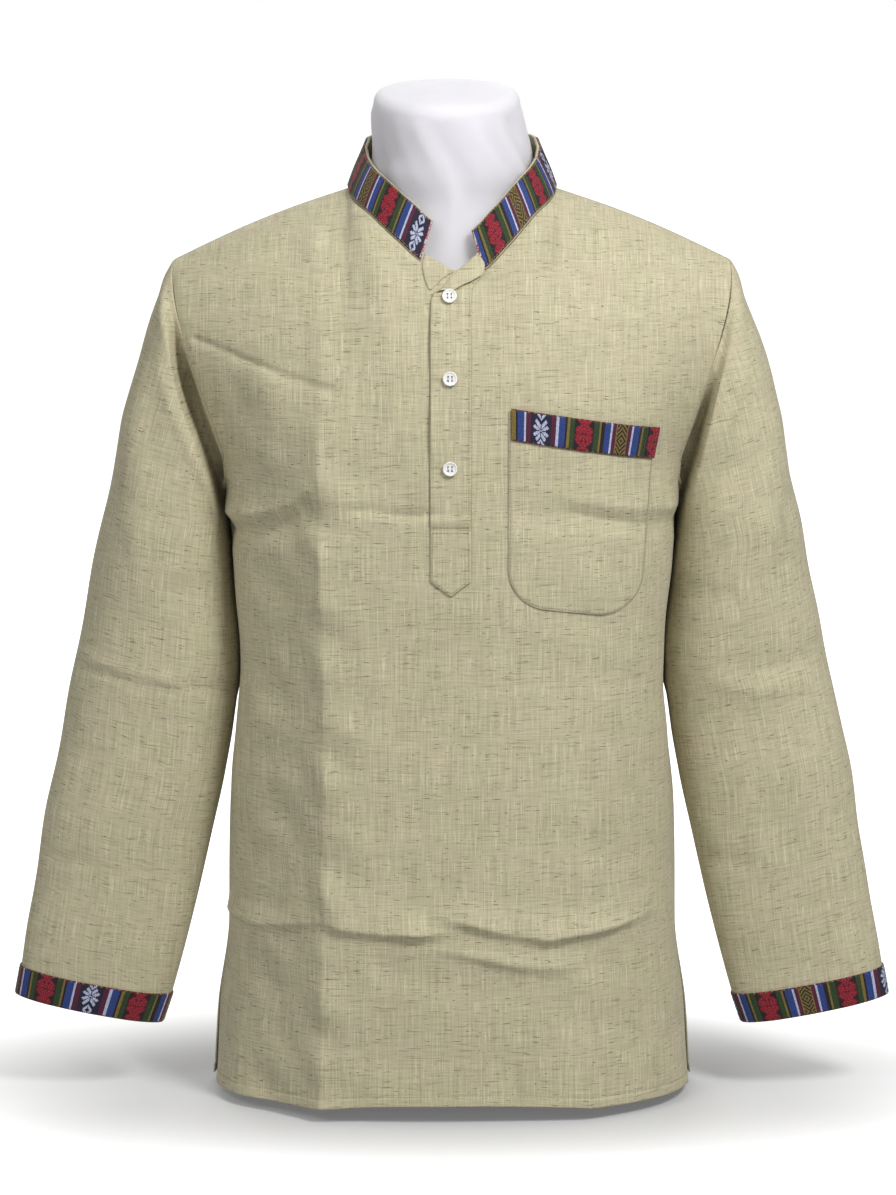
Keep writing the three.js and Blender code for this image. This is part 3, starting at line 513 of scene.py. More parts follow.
# Mesh of each panel (side -1 is the front): columns from its middle, rows below and above the chest,
# where they lie closer (height or share, how much closer, width), and where creases fade at the side.
PANEL_MESH = {
    -1: {"columns": 84, "rows": 148, "near": ((150, 1.6, 16), (125, 0.8, 8), (460, 1.1, 16)),
         "upper_rows": 86, "upper_near": ((0.42, 1.3, 0.14),), "calm": (0.93, 0.99)},
    1: {"columns": 62, "rows": 112, "near": (), "upper_rows": 60, "upper_near": (), "calm": (0.8, 0.9)},
}


@lru_cache(maxsize=None)
def panel(side):
    """A front or back panel: outer points, normals, columns, and its rows at the armpit and the chest."""
    mesh = PANEL_MESH[side]
    half = column_shares(mesh["columns"], ((0.34, 1.6, 0.05), (0.985, 2.2, 0.02), (0, 0.4, 0.05)))
    half = with_exact(half, 0, COLLAR_START, NECK_COLUMN, 1)
    u = np.concatenate([-half[:0:-1], half])
    if side > 0:
        u = u[::-1]
    rows = column_shares(mesh["rows"], [(h / 468 - 0.06, e, w / 468) for h, e, w in mesh["near"]])
    low = with_exact(np.concatenate([HEM_ROWS, HEM + 14.5 + 467 * rows]), ARMPIT)
    shares = column_shares(mesh["upper_rows"], mesh["upper_near"])
    upper = np.broadcast_arrays(u[None, :], shares[:, None])
    base = np.concatenate([section_point(side, u[None, :], low[:, None]), rise_point(side, *upper)])
    base[..., 1] += side * SEAM
    normals = grid_normals(base)
    x, z = base[..., 0], base[..., 2]
    calm = 1 - smooth(*mesh["calm"], np.abs(u))[None, :]
    if side < 0:
        centre = 1 - np.exp(-((x / 34) ** 2)) * smooth(380, 420, z)
        rise = crease_rise(x, z, FRONT_CREASES) * calm + sway(x, z, 5) * centre * calm
    else:
        rise = (crease_rise(-x, z, BACK_CREASES) + sway(x, z, 8, 0.8)) * calm
    rise = rise * (1 - smooth(0.86, 0.97, np.concatenate([np.zeros(len(low)), shares]))[:, None])
    # The turned hem is a second layer, and the needle draws the cloth in along its edge.
    above = z - base[0, :, 2][None, :]
    rise += 0.5 * (1 - smooth(HEM_DEPTH - 0.6, HEM_DEPTH + 0.4, above))
    rise -= HEM_STITCH * np.exp(-(((above - HEM_DEPTH + 0.2) / 0.7) ** 2))
    outer = base + normals * rise[..., None]
    normals = grid_normals(outer)
    armpit_row = int(np.argmin(np.abs(low - ARMPIT)))
    # The panels meet edge to edge along the side and shoulder seams.
    normals[:armpit_row + 1, [0, -1], 1] = 0
    normals[-1, np.abs(u) >= NECK_COLUMN - 1e-9, 1] = 0
    return {"outer": outer, "normals": unit(normals), "u": u, "armpit_row": armpit_row,
            "chest_row": len(low)}


def seam_out(points, normals, closed):
    """The direction that continues the cloth past its edge, at each point of a seam."""
    if closed:
        run = np.roll(points, -1, 0) - np.roll(points, 1, 0)
    else:
        run = np.gradient(points, axis=0)
    return unit(np.cross(normals, run))


def start_points(points, normals, out, leave):
    """Where the next piece starts: past the edge, and beside it where it turns back on the panel."""
    over = np.sum(leave * normals, -1)
    ahead = np.sum(leave * out, -1)
    bend = np.maximum(0, np.arctan2(over, ahead))[..., None]
    return points + JOIN * (out * np.cos(bend / 2) + normals * np.sin(bend / 2))


def square_to_seam(normals, out, leave):
    over = np.sum(normals * out, -1, keepdims=True)
    reach = np.sum(leave * out, -1, keepdims=True)
    return unit(np.where((over > 0) & (reach > 0), normals - out * over, normals))


def armhole():
    """The armhole seam at x > 0: points, normals and turns from the shoulder round the front."""
    front, back = panel(-1), panel(1)
    down = slice(front["armpit_row"], None)
    front_edge = front["outer"][down, -1][::-1], front["normals"][down, -1][::-1]
    up = slice(back["armpit_row"], None)
    back_edge = back["outer"][up, 0], back["normals"][up, 0]
    points, normals, turns = [], [], []
    for (line, line_normals), start in ((front_edge, 0), (back_edge, 180)):
        run = run_length(line, 0)
        points.append(line[:-1])
        normals.append(line_normals[:-1])
        turns.append(start + run[:-1] / run[-1] * 180)
    points, normals, turns = np.concatenate(points), np.concatenate(normals), np.concatenate(turns)
    points = points.copy()
    points[np.argmin(np.abs(turns - 180)), 1] = 0
    points[0, 1] = SHOULDER_TIP["y"]
    return points, normals, turns


def ring_points(ring, turns):
    angle = np.radians(turns)
    across = (1 + power(np.cos(angle), 2 / ring["square"])) / 2
    y = ring["y"] - ring["depth"] * power(np.sin(angle), 2 / ring["square"])
    return stack(ring["inner_x"] + (ring["outer_x"] - ring["inner_x"]) * across, y,
                 ring["inner_z"] + (ring["outer_z"] - ring["inner_z"]) * across)


# The fold of each sleeve in front of its armhole, and the deep trough between it and the body: the
# trough's depth, where it is deepest and ends, the fold's height and reach, and how often both are eased.
ARMHOLE_FOLD = {"left": ((217, 632), (212, 610), (205, 578), (197, 543), (191, 512), (184, 482), (178, 455),
                         (171, 425), (167, 385)),
                "right": ((222, 632), (219, 612), (211, 577), (202, 533), (192, 500), (184, 476), (177, 452),
                          (172, 428), (169, 385))}
TROUGH = {"depth": 31, "edge": 6.5, "width": 22, "ridge": 6.5, "before": 13, "after": 9, "passes": 3}
SLEEVE_CREASES = {  # seen from the front for "front" and through the sleeve from the front for "back"
    "left": {
        "front": table(
            CREASE_COLUMNS,
            (-2.4, 12, 14, 0, 0.25, ((236, 600), (234, 550), (224, 500), (210, 460))),
            (2.6, 10, 14, 0, 0.25, ((252, 570), (250, 510), (242, 450), (238, 400))),
            (-1.6, 9, 9, 0, 0.3, ((196, 344), (230, 336), (262, 340), (292, 354))),
            (1.6, 9, 9, 0, 0.3, ((186, 328), (236, 320), (288, 332))),
            (-2.0, 9, 9, 0, 0.3, ((172, 400), (196, 392), (222, 396))),
            (1.3, 12, 14, 0, 0.3, ((262, 300), (272, 240), (284, 170))),
            (-1.3, 9, 9, 0, 0.3, ((180, 188), (208, 183), (240, 184))),
        ),
        "back": table(
            CREASE_COLUMNS,
            (-3.0, 12, 14, 0, 0.25, ((236, 590), (226, 510), (204, 460))),
            (3.0, 12, 14, 0, 0.25, ((250, 560), (244, 500), (228, 440))),
            (-2.2, 8, 9, 0, 0.3, ((188, 330), (240, 322), (290, 336))),
            (2.2, 9, 9, 0, 0.3, ((184, 350), (230, 344), (286, 356))),
            (1.4, 10, 12, 0, 0.3, ((226, 190), (268, 180), (316, 192))),
        ),
    },
    "right": {
        "front": table(
            CREASE_COLUMNS,
            (-2.6, 12, 14, 0, 0.25, ((234, 610), (233, 560), (226, 510), (214, 466))),
            (2.6, 10, 14, 0, 0.25, ((250, 590), (248, 520), (243, 450), (236, 410))),
            (-1.5, 3, 3, 0, 0.12, ((292, 339), (262, 332), (236, 326), (205, 318))),
            (1.6, 4, 5, 0, 0.12, ((292, 344), (262, 337), (236, 331), (205, 323))),
            (-1.8, 5, 6, 0, 0.12, ((204, 321), (184, 319), (160, 320))),
            (-1.2, 5, 5, 0, 0.25, ((318, 190), (296, 186), (268, 182))),
            (1.2, 12, 14, 0, 0.3, ((246, 300), (262, 240), (280, 170))),
            (-1.6, 10, 10, 0, 0.3, ((176, 404), (200, 396), (226, 402))),
        ),
        "back": table(
            CREASE_COLUMNS,
            (-3.0, 12, 14, 0, 0.25, ((238, 580), (226, 505), (202, 456))),
            (3.0, 12, 14, 0, 0.25, ((252, 550), (244, 490), (226, 430))),
            (-2.4, 8, 8, 0, 0.3, ((186, 326), (235, 316), (292, 330))),
            (1.8, 9, 9, 0, 0.3, ((196, 280), (240, 270), (300, 282))),
        ),
    },
}
# Where a hanging sleeve lies on the side of the body.
ARM_REST = {"clear": 1.5, "turn": 200, "width": 34, "low": 285, "full": 325}


def body_side(y, z):
    """How far the body's side reaches out at a depth y and a height below the chest."""
    z = np.clip(z, HEM, CHEST)
    half = along(BODY, "height", "half", z)
    square = along(BODY, "height", "square", z)
    depth = np.where(y < 0, along(BODY, "height", "front", z), along(BODY, "height", "back", z))
    return half * (1 - np.clip(np.abs(y) / depth, 0, 1) ** square) ** (1 / square)


@lru_cache(maxsize=None)
def sleeve(name):
    """One sleeve as if at x > 0: rows from the armhole to the cuff, columns round it."""
    points, point_normals, turns = armhole()
    out = seam_out(points, point_normals, True)
    leave = unit(stack(*(along(CAP_LEAVE, "turn", k, turns) for k in "xyz")))
    start = start_points(points, point_normals, out, leave)
    end = ring_points(SLEEVE[0], turns)
    length = np.linalg.norm(end - start, axis=-1, keepdims=True)
    pull = along(CAP_LEAVE, "turn", "pull", turns)[:, None]
    upward = unit(end - ring_points(SLEEVE[1], turns))
    shares = np.concatenate([np.linspace(0, 0.5, 44), np.linspace(0.5, 1, 22)[1:-1]])
    cap = [bezier(start, start + leave * pull * length, end + upward * 0.3 * length, end, t) for t in shares]
    last = len(SLEEVE) - 1
    keyed = [dict(row, key=k) for k, row in enumerate(SLEEVE)]
    keys = np.concatenate([np.linspace(0, last - 1, TUBE_ROWS), np.linspace(last - 1, last, CUFF_ROWS)[1:]])
    tube = [ring_points({c: float(along(keyed, "key", c, key)) for c in SLEEVE[0]}, turns) for key in keys]
    rows = np.array(cap + tube)
    # The hanging sleeve lies against the side, just behind the side seam.
    lean_in = np.exp(-(((turns - ARM_REST["turn"]) / ARM_REST["width"]) ** 2))[None, :]
    lean_in = lean_in * smooth(ARM_REST["low"], ARM_REST["full"], rows[..., 2])
    lean_in = lean_in * smooth(1, 9, np.linalg.norm(rows - start, axis=-1))
    space = rows[..., 0] - body_side(rows[..., 1], rows[..., 2]) - ARM_REST["clear"]
    rows[..., 0] -= lean_in * np.maximum(space, 0)
    far = np.linalg.norm(rows - start, axis=-1)
    facing = np.sin(np.radians(turns))[None, :]
    fold, share = near_path(rows[..., 0], rows[..., 2], ARMHOLE_FOLD[name])
    edge, width = TROUGH["edge"], TROUGH["width"]
    trough = smooth(0, edge, fold) * np.clip(1 - (fold - edge) / (width - edge), 0, 1) ** 1.3
    trough = trough * smooth(0.0, 0.35, share) * (1 - smooth(0.82, 1, share)) * smooth(0.5, 8, far)
    ridge = np.where(fold > 0, np.clip(1 - fold / TROUGH["after"], 0, 1), np.exp(fold / TROUGH["before"]))
    ridge = ridge * smooth(0.0, 0.12, share) * (1 - smooth(0.8, 1, share)) * smooth(1.5, 9, far)
    push = (TROUGH["depth"] * trough - TROUGH["ridge"] * ridge) * smooth(0.03, 0.55, facing)
    for _ in range(TROUGH["passes"]):
        push = (np.roll(push, 1, 1) + 2 * push + np.roll(push, -1, 1)) / 4
        push[1:-1] = (push[:-2] + 2 * push[1:-1] + push[2:]) / 4
        push[0] = 0
    rows[..., 1] += push
    normals = grid_normals(rows, True)
    ahead = smooth(35, 75, turns) * (1 - smooth(135, 168, turns))
    behind = CAP_FOLD["back_share"] * smooth(192, 225, turns) * (1 - smooth(285, 325, turns))

    def bump(at, rise):
        return rise * np.exp(-(((far - at) / CAP_FOLD["width"]) ** 2))

    rise = (ahead + behind) * (bump(CAP_FOLD["valley_at"], CAP_FOLD["valley"])
                               + bump(CAP_FOLD["ridge_at"], CAP_FOLD["ridge"]))
    above = 1 - smooth(30, 75, np.minimum(turns, 360 - turns))
    rise += 2.0 * above * np.exp(-(((far - 13) / 9) ** 2))
    x, z = rows[..., 0], rows[..., 2]
    calm = smooth(1.5, 13, far) * smooth(0, 14, (z - rows[-1, :, 2][None, :]))
    creases = SLEEVE_CREASES[name]
    rise += calm * smooth(0.02, 0.45, facing) * crease_rise(x, z, creases["front"])
    rise += calm * smooth(0.02, 0.45, -facing) * crease_rise(x, z, creases["back"])
    outside = 1 - np.exp(-(((turns - 190) / 45) ** 2))[None, :]
    rise += calm * outside * sway(x + 40 * facing, z, 21 if name == "left" else 34, 0.6)
    rise[0] = 0
    outer = rows + normals * rise[..., None]
    normals = grid_normals(outer, True)
    normals[0] = square_to_seam(normals[0], out, leave)
    return {"outer": outer, "normals": normals, "turns": turns, "cap_rows": len(cap)}


def mirrored(grid):
    """A grid at x > 0 as its copy at x < 0, still facing out."""
    return (grid * np.array([-1, 1, 1]))[:, ::-1]


@lru_cache(maxsize=None)
def collar():
    """Where the collar band starts and how it leans, from its end at x > 0 round the back."""
    front, back = panel(-1), panel(1)
    top = {side: (p["outer"][-1], p["normals"][-1], p["u"]) for side, p in ((-1, front), (1, back))}

    def edge(side, keep):
        points, normals, u = top[side]
        return points[keep(u)], normals[keep(u)]

    parts = [
        edge(-1, lambda u: (u >= COLLAR_START - 1e-9) & (u < NECK_COLUMN - 1e-9)),
        edge(1, lambda u: np.abs(u) <= NECK_COLUMN + 1e-9),
        edge(-1, lambda u: (-u >= COLLAR_START - 1e-9) & (-u < NECK_COLUMN - 1e-9)),
    ]
    points = np.concatenate([p[0] for p in parts])
    normals = np.concatenate([p[1] for p in parts])
    forward = NECK["y"] - points[:, 1]
    reach = np.where(forward > 0, NECK["front"], NECK["back"])
    turn = np.degrees(np.arccos(np.clip(forward / reach, -1, 1)))
    lean = stack(*(along(COLLAR_LEAN, "turn", k, turn) for k in "xyz"))
    lean[:, 0] *= np.sign(points[:, 0])
    out = seam_out(points, normals, False)
    start = start_points(points, normals, out, unit(lean))
    return start, lean


def collar_grid(shares, count, bow=0.8):
    """The outside of the collar band at some shares of its height, with equal steps along it."""
    start, lean = collar()
    line = resampled(np.concatenate([start, lean], 1), count)
    start, lean = line[:, :3], line[:, 3:]
    rows = np.array([start + lean * share for share in shares])
    normals = grid_normals(rows)
    swell = bow * np.sin(np.pi * np.clip(np.array(shares), 0, 1))[:, None, None]
    return rows + normals * swell, normals


# --- The front seen as a map of depths, for what lies on it -----------------------------------------

MAP_STEP = 0.75


@lru_cache(maxsize=None)
def front_map():
    """Depth y of the front's outside at each x and height of a regular net."""
    outer = panel(-1)["outer"]
    xs = np.arange(-160, 160.1, MAP_STEP)
    zs = np.arange(10, 700, MAP_STEP)
    ys = np.array([np.interp(xs, row[:, 0], row[:, 1]) for row in outer])
    hs = np.array([np.interp(xs, row[:, 0], row[:, 2]) for row in outer])
    depth = np.empty((len(zs), len(xs)))
    for k in range(len(xs)):
        inside = zs <= hs[-1, k]
        slope = (ys[-1, k] - ys[-6, k]) / max(hs[-1, k] - hs[-6, k], 1e-6)
        depth[:, k] = np.where(inside, np.interp(zs, hs[:, k], ys[:, k]),
                               ys[-1, k] + slope * (zs - hs[-1, k]))
    dz, dx = np.gradient(depth, MAP_STEP)
    return xs, zs, np.stack([depth, dx, dz], -1)


def on_front(x, z, lift=0.0):
    """Points of the front's outside seen at x and a height, moved out, and the normals there."""
    xs, zs, net = front_map()
    fx = np.clip((np.asarray(x, float) - xs[0]) / MAP_STEP, 0, len(xs) - 1.001)
    fz = np.clip((np.asarray(z, float) - zs[0]) / MAP_STEP, 0, len(zs) - 1.001)
    i, k = fx.astype(int), fz.astype(int)
    a, b = (fx - i)[..., None], (fz - k)[..., None]
    value = ((net[k, i] * (1 - a) + net[k, i + 1] * a) * (1 - b)
             + (net[k + 1, i] * (1 - a) + net[k + 1, i + 1] * a) * b)
    normals = unit(stack(value[..., 1], -1, value[..., 2]))
    points = stack(x, value[..., 0], z)
    return points + normals * np.asarray(lift)[..., None], normals


# --- Meshes -----------------------------------------------------------------------------------------

def mesh_object(name, points, faces, uv=None, colours=None):
    """A mesh in metres from points in millimetres; uv and colours are given for each face corner."""
    mesh = bpy.data.meshes.new(name)
    mesh.from_pydata((np.asarray(points) * MM).tolist(), [], list(faces))
    if uv is not None:
        layer = mesh.uv_layers.new(name="Cloth")
        layer.data.foreach_set("uv", np.asarray(uv, np.float32).ravel())
    if colours is not None:
        attribute = mesh.color_attributes.new("Thread", "FLOAT_COLOR", "CORNER")
        attribute.data.foreach_set("color", np.asarray(colours, np.float32).ravel())
    mesh.shade_smooth()
    mesh.update()
    obj = bpy.data.objects.new(name, mesh)
    bpy.context.scene.collection.objects.link(obj)
    return obj


def wall_corners(rows, columns, wrap):
    """Corners of a closed wall's faces as layer, row and column; a wrapped last column isn't folded back."""
    spans = columns if wrap else columns - 1
    j, i = np.meshgrid(np.arange(rows - 1), np.arange(spans), indexing="ij")
    j, i = j.ravel(), i.ravel()
    zero, one = np.zeros_like(i), np.ones_like(i)
    faces = [
        np.stack([[zero, j, i], [zero, j, i + 1], [zero, j + 1, i + 1], [zero, j + 1, i]]),
        np.stack([[one, j, i], [one, j + 1, i], [one, j + 1, i + 1], [one, j, i + 1]]),
    ]
    i = np.arange(spans)
    zero, one, top = np.zeros_like(i), np.ones_like(i), np.full_like(i, rows - 1)
    faces.append(np.stack([[one, zero, i], [one, zero, i + 1], [zero, zero, i + 1], [zero, zero, i]]))
    faces.append(np.stack([[zero, top, i], [zero, top, i + 1], [one, top, i + 1], [one, top, i]]))
    if not wrap:
        j = np.arange(rows - 1)
        zero, one, end = np.zeros_like(j), np.ones_like(j), np.full_like(j, columns - 1)
        faces.append(np.stack([[zero, j, zero], [zero, j + 1, zero], [one, j + 1, zero], [one, j, zero]]))
        faces.append(np.stack([[one, j, end], [one, j + 1, end], [zero, j + 1, end], [zero, j, end]]))
    return np.concatenate([np.moveaxis(f, 2, 0) for f in faces])


def wall(name, outer, inner, wrap=False, uv=None, cells=None):
    """A closed wall of cloth between two grids of points. uv holds a place in metres for each grid
    corner, and cells a colour for each face between corners, both with one more column if wrapped."""
    rows, columns = outer.shape[:2]
    corners = wall_corners(rows, columns, wrap)
    layer, j, i = corners[..., 0], corners[..., 1], corners[..., 2]
    faces = layer * rows * columns + j * columns + i % columns
    points = np.concatenate([outer.reshape(-1, 3), inner.reshape(-1, 3)])
    corner_uv = None if uv is None else uv[j, i]
    colours = None
    if cells is not None:
        low_j = np.minimum(j.min(1), rows - 2)
        low_i = np.minimum(i.min(1), cells.shape[1] - 1)
        colours = np.repeat(cells[low_j, low_i][:, None, :], 4, 1)
    return mesh_object(name, points, faces.tolist(), corner_uv, colours)


def cloth_uv(grid, wrap=False):
    """Places on the flat cloth in metres: across the grain and along it."""
    if wrap:
        grid = np.concatenate([grid, grid[:, :1]], 1)
    across = run_length(grid, 1)
    middle = grid.shape[1] // 2
    across = across - across[:, middle:middle + 1]
    down = run_length(grid, 0)[:, middle]
    return stack(across, down[:, None]) * MM


def panel_uv(cloth):
    """The same for a panel: above the chest its warp hangs straight down from the shoulder."""
    grid, chest = cloth["outer"], cloth["chest_row"]
    uv = cloth_uv(grid) / MM
    x = np.abs(grid[..., 0])
    order = slice(grid.shape[1] // 2, None)
    x_row, across_row = x[chest, order], np.abs(uv[chest, order, 0])
    reach = np.interp(x[chest:], x_row, across_row) + np.maximum(0, x[chest:] - x_row[-1])
    uv[chest:, :, 0] = np.sign(uv[chest, :, 0])[None, :] * reach
    uv[chest:, :, 1] = uv[chest, 0, 1] + run_length(grid[chest:], 0)
    return uv * MM


def sleeve_uv(grid, cap_rows):
    """The same for a sleeve, whose warp runs along its outer fold and meets at the seam underneath."""
    grid = np.concatenate([grid, grid[:, :1]], 1)
    uv = cloth_uv(grid) / MM
    down = run_length(grid, 0)
    uv[:, :, 1] = down - down[cap_rows]
    x, z = np.abs(grid[..., 0]), grid[..., 2]
    fold = int(np.argmax(x[cap_rows]))
    uv[..., 0] -= uv[:, fold:fold + 1, 0]
    # In the cap, places are measured across from the outer fold and up from the first full ring.
    for side in (slice(fold, None), slice(fold, None, -1)):
        ring, arc, high = x[cap_rows, side], uv[cap_rows, side, 0], z[cap_rows, side]
        across = np.maximum.accumulate(ring[0] - ring) + np.arange(len(ring)) * 1e-6
        outermost = np.interp(-z[:cap_rows, side], -z[:cap_rows + 1, fold], x[:cap_rows + 1, fold])
        away = outermost - x[:cap_rows, side]
        uv[:cap_rows, side, 0] = np.interp(away, across, arc)
        uv[:cap_rows, side, 1] = np.interp(away, across, high) - z[:cap_rows, side]
    return uv * MM


def bars(name, lines, pitch, share=0.72, radius=0.27, lift=0.1):
    """Stitches along lines of points and normals: one small rounded bar of thread for each."""
    sides, profile = 6, ((-0.7, 0.75), (0.0, 1.0), (0.7, 0.75))
    made_points, made_faces, base = [], [], 0
    for points, normals in lines:
        count = max(3, int(run_length(points, 0)[-1] / pitch) + 1)
        both = resampled(np.concatenate([points, normals], 1), count * 2 + 1)
        ends, facing = both[:, :3], unit(both[:, 3:])
        for k in range(1, 2 * count, 2):
            run = ends[k + 1] - ends[k - 1]
            half = np.linalg.norm(run) * share / 2
            run = run / np.linalg.norm(run)
            up = facing[k]
            aside = np.cross(up, run)
            middle = ends[k] + up * lift
            ring = [middle - run * half - up * radius * 0.6]
            for at, size in profile:
                for s in range(sides):
                    angle = s / sides * 2 * math.pi
                    spread = aside * math.cos(angle) + up * math.sin(angle)
                    ring.append(middle + run * half * at + spread * radius * size)
            ring.append(middle + run * half - up * radius * 0.6)
            made_points.extend(ring)
            last = base + len(ring) - 1
            for s in range(sides):
                t = (s + 1) % sides
                made_faces.append((base, base + 1 + t, base + 1 + s))
                for r in range(len(profile) - 1):
                    low, high = base + 1 + r * sides, base + 1 + (r + 1) * sides
                    made_faces.append((low + s, low + t, high + t, high + s))
                high = base + 1 + (len(profile) - 1) * sides
                made_faces.append((high + s, high + t, last))
            base += len(ring)
    return mesh_object(name, made_points, made_faces)


def dress(obj, material, slot, *nodes):
    """Gives a piece its finish and its body, and hides the solids that it stands for."""
    obj.data.materials.append(material)
    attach(obj, BODY_NAME)
    if nodes:
        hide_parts(*nodes)
    return obj


def deselect_all():
    for obj in bpy.context.selected_objects:
        obj.select_set(False)


# --- Finishes ---------------------------------------------------------------------------------------

def add(tree, kind, inputs=(), stops=None, **settings):
    """One node with its settings; each input is a value or another node's output."""
    made = tree.nodes.new("ShaderNode" + kind)
    for name, value in settings.items():
        setattr(made, name, value)
    for key, value in dict(inputs).items():
        if isinstance(value, bpy.types.NodeSocket):
            tree.links.new(value, made.inputs[key])
        else:
            made.inputs[key].default_value = value
    if stops:
        ramp = made.color_ramp
        while len(ramp.elements) < len(stops):
            ramp.elements.new(0.5)
        for element, (place, value) in zip(ramp.elements, stops):
            element.position = place
            element.color = (*linear(value), 1) if isinstance(value, str) else (value, value, value, 1)
    return made


def maths(tree, operation, *values):
    return add(tree, "Math", dict(enumerate(values)), operation=operation).outputs[0]


def mix(tree, factor, first, second, **settings):
    return add(tree, "Mix", {0: factor, 6: first, 7: second}, data_type="RGBA", **settings).outputs[2]


def noise(tree, at, scale=1.0, detail=1.0):
    return add(tree, "TexNoise", {"Vector": at, "Scale": scale, "Detail": detail}).outputs[0]


def surface(tree, shader, colour, values, bump=None):
    """Joins a colour to the shader, sets its plain values and adds a bump: strength, depth, height."""
    tree.links.new(colour, shader.inputs["Base Color"])
    for name, value in values.items():
        shader.inputs[name].default_value = value
    if bump:
        made = add(tree, "Bump", dict(zip(("Strength", "Distance", "Height"), bump)))
        tree.links.new(made.outputs[0], shader.inputs["Normal"])


def new_material(name):
    """An empty material and the parts of it that every finish needs."""
    material = bpy.data.materials.new(name)
    material.use_nodes = True
    tree = material.node_tree
    shader = tree.nodes["Principled BSDF"]
    return material, tree, shader


@lru_cache(maxsize=None)
def slub_cloth():
    """Plain-woven cotton-linen: uneven yarns give light streaks along the warp, dark slubs along the
    weft and a slow change between green and rosy beige. Threads of 0.5 mm are drawn 1.1 mm wide."""
    material, tree, shader = new_material("Slub cotton linen, plain woven")
    place = add(tree, "UVMap", uv_map="Cloth").outputs[0]

    def yarns(width, height, seed, detail=1.0, at=place):
        """Noise drawn out to the size of a yarn's uneven parts, in metres."""
        size = add(tree, "Mapping", {0: at, 1: (seed, seed, seed), 3: (1 / width, 1 / height, 1)})
        return noise(tree, size.outputs[0], 1.0, detail)

    def between(value, low, high):
        return add(tree, "MapRange", {0: value, 1: low, 2: high}, clamp=True).outputs[0]

    def blend(share, amount, first, tone):
        return mix(tree, maths(tree, "MULTIPLY", share, amount), first, (*linear(tone), 1))

    lift = maths(tree, "MULTIPLY", yarns(0.012, 0.012, 31, 0), 0.0022)
    split = add(tree, "CombineXYZ", {1: lift}).outputs[0]
    wavy = add(tree, "VectorMath", {0: place, 1: split}, operation="ADD").outputs[0]
    warp, wide_warp = yarns(0.0010, 0.040, 1), yarns(0.0036, 0.070, 5)
    weft, wide_weft = yarns(0.022, 0.0010, 7), yarns(0.060, 0.0050, 9)
    patch = yarns(0.032, 0.028, 3, 2.0)
    ground = mix(tree, between(patch, 0.34, 0.66), (*linear("#b9b394"), 1), (*linear("#bcb397"), 1))
    tone = None
    for value, amount in ((warp, 0.56), (wide_warp, 0.17), (weft, 0.5), (wide_weft, 0.15)):
        part = maths(tree, "MULTIPLY_ADD", value, amount, -amount / 2)
        tone = part if tone is None else maths(tree, "ADD", tone, part)
    colour = mix(tree, 1.0, ground, maths(tree, "ADD", tone, 1.0), blend_type="MULTIPLY")
    pale = between(yarns(0.0014, 0.022, 13, 0), 0.66, 0.74)
    long_slub = between(yarns(0.020, 0.0011, 17, 0, wavy), 0.69, 0.79)
    slub = between(yarns(0.0075, 0.0010, 19, 0, wavy), 0.72, 0.80)
    nep = between(yarns(0.0028, 0.0013, 23, 0, wavy), 0.78, 0.84)
    for share, amount, shade in ((pale, 0.36, "#ddd8b8"), (long_slub, 0.5, "#736a4c"),
                                 (slub, 0.66, "#5e553c"), (nep, 0.7, "#4a4029")):
        colour = blend(share, amount, colour, shade)
    surface(tree, shader, colour, {"Roughness": 0.88, "Specular IOR Level": 0.28, "Sheen Weight": 0.12,
                                   "Sheen Roughness": 0.5},
            bump=(0.3, 0.0006, maths(tree, "ADD", maths(tree, "ADD", warp, weft), slub)))
    return material


@lru_cache(maxsize=None)
def woven_trim():
    """Brocade ribbon: dyed cotton threads lie across it, with a slight silky light on their ribs."""
    material, tree, shader = new_material("Brocade ribbon, woven")
    thread = add(tree, "Attribute", attribute_name="Thread").outputs[0]
    place = add(tree, "UVMap", uv_map="Cloth").outputs[0]
    fine = add(tree, "Mapping", {0: place, 3: (1 / 0.0008, 1 / 0.0008, 1)}).outputs[0]
    grain = noise(tree, fine, 1.0, 2.0)
    tone = add(tree, "ValToRGB", {0: grain}, stops=((0.3, 0.62), (0.7, 1.25)))
    colour = mix(tree, 0.8, thread, tone.outputs[0], blend_type="MULTIPLY")
    rib = add(tree, "TexWave", {"Vector": place, "Scale": 1 / 0.0016 / 6.283, "Distortion": 0.0},
              wave_type="BANDS", bands_direction="X").outputs[0]
    surface(tree, shader, colour, {"Roughness": 0.72, "Specular IOR Level": 0.35, "Sheen Weight": 0.15},
            bump=(0.35, 0.0005, maths(tree, "ADD", rib, grain)))
    return material


@lru_cache(maxsize=None)
def form_jersey():
    """Fine white cotton jersey stretched over foam: matt, with a soft nap and faint ribs."""
    material, tree, shader = new_material("White cotton jersey, knitted")
    place = add(tree, "TexCoord").outputs["Object"]
    tone = add(tree, "ValToRGB", {0: noise(tree, place, 14.0, 3.0)},
               stops=((0.35, "#d6d4d9"), (0.65, "#dedce1")))
    stretch = add(tree, "Mapping", {0: place, 3: (900, 900, 300)}).outputs[0]
    surface(tree, shader, tone.outputs[0],
            {"Roughness": 0.8, "Specular IOR Level": 0.25, "Sheen Weight": 0.1, "Subsurface Weight": 0.8,
             "Subsurface Radius": (1, 1, 1), "Subsurface Scale": 0.035},
            bump=(0.15, 0.0004, noise(tree, stretch)))
    return material


@lru_cache(maxsize=None)
def button_plastic():
    """Cast polyester button: pearly white, polished, with a faint cloud in it."""
    material, tree, shader = new_material("Polyester button, cast and polished")
    place = add(tree, "TexCoord").outputs["Object"]
    tone = add(tree, "ValToRGB", {0: noise(tree, place, 260.0, 2.0)},
               stops=((0.35, "#e6e5e2"), (0.65, "#f4f3f0")))
    surface(tree, shader, tone.outputs[0], {"Roughness": 0.28, "Coat Weight": 0.3})
    return material


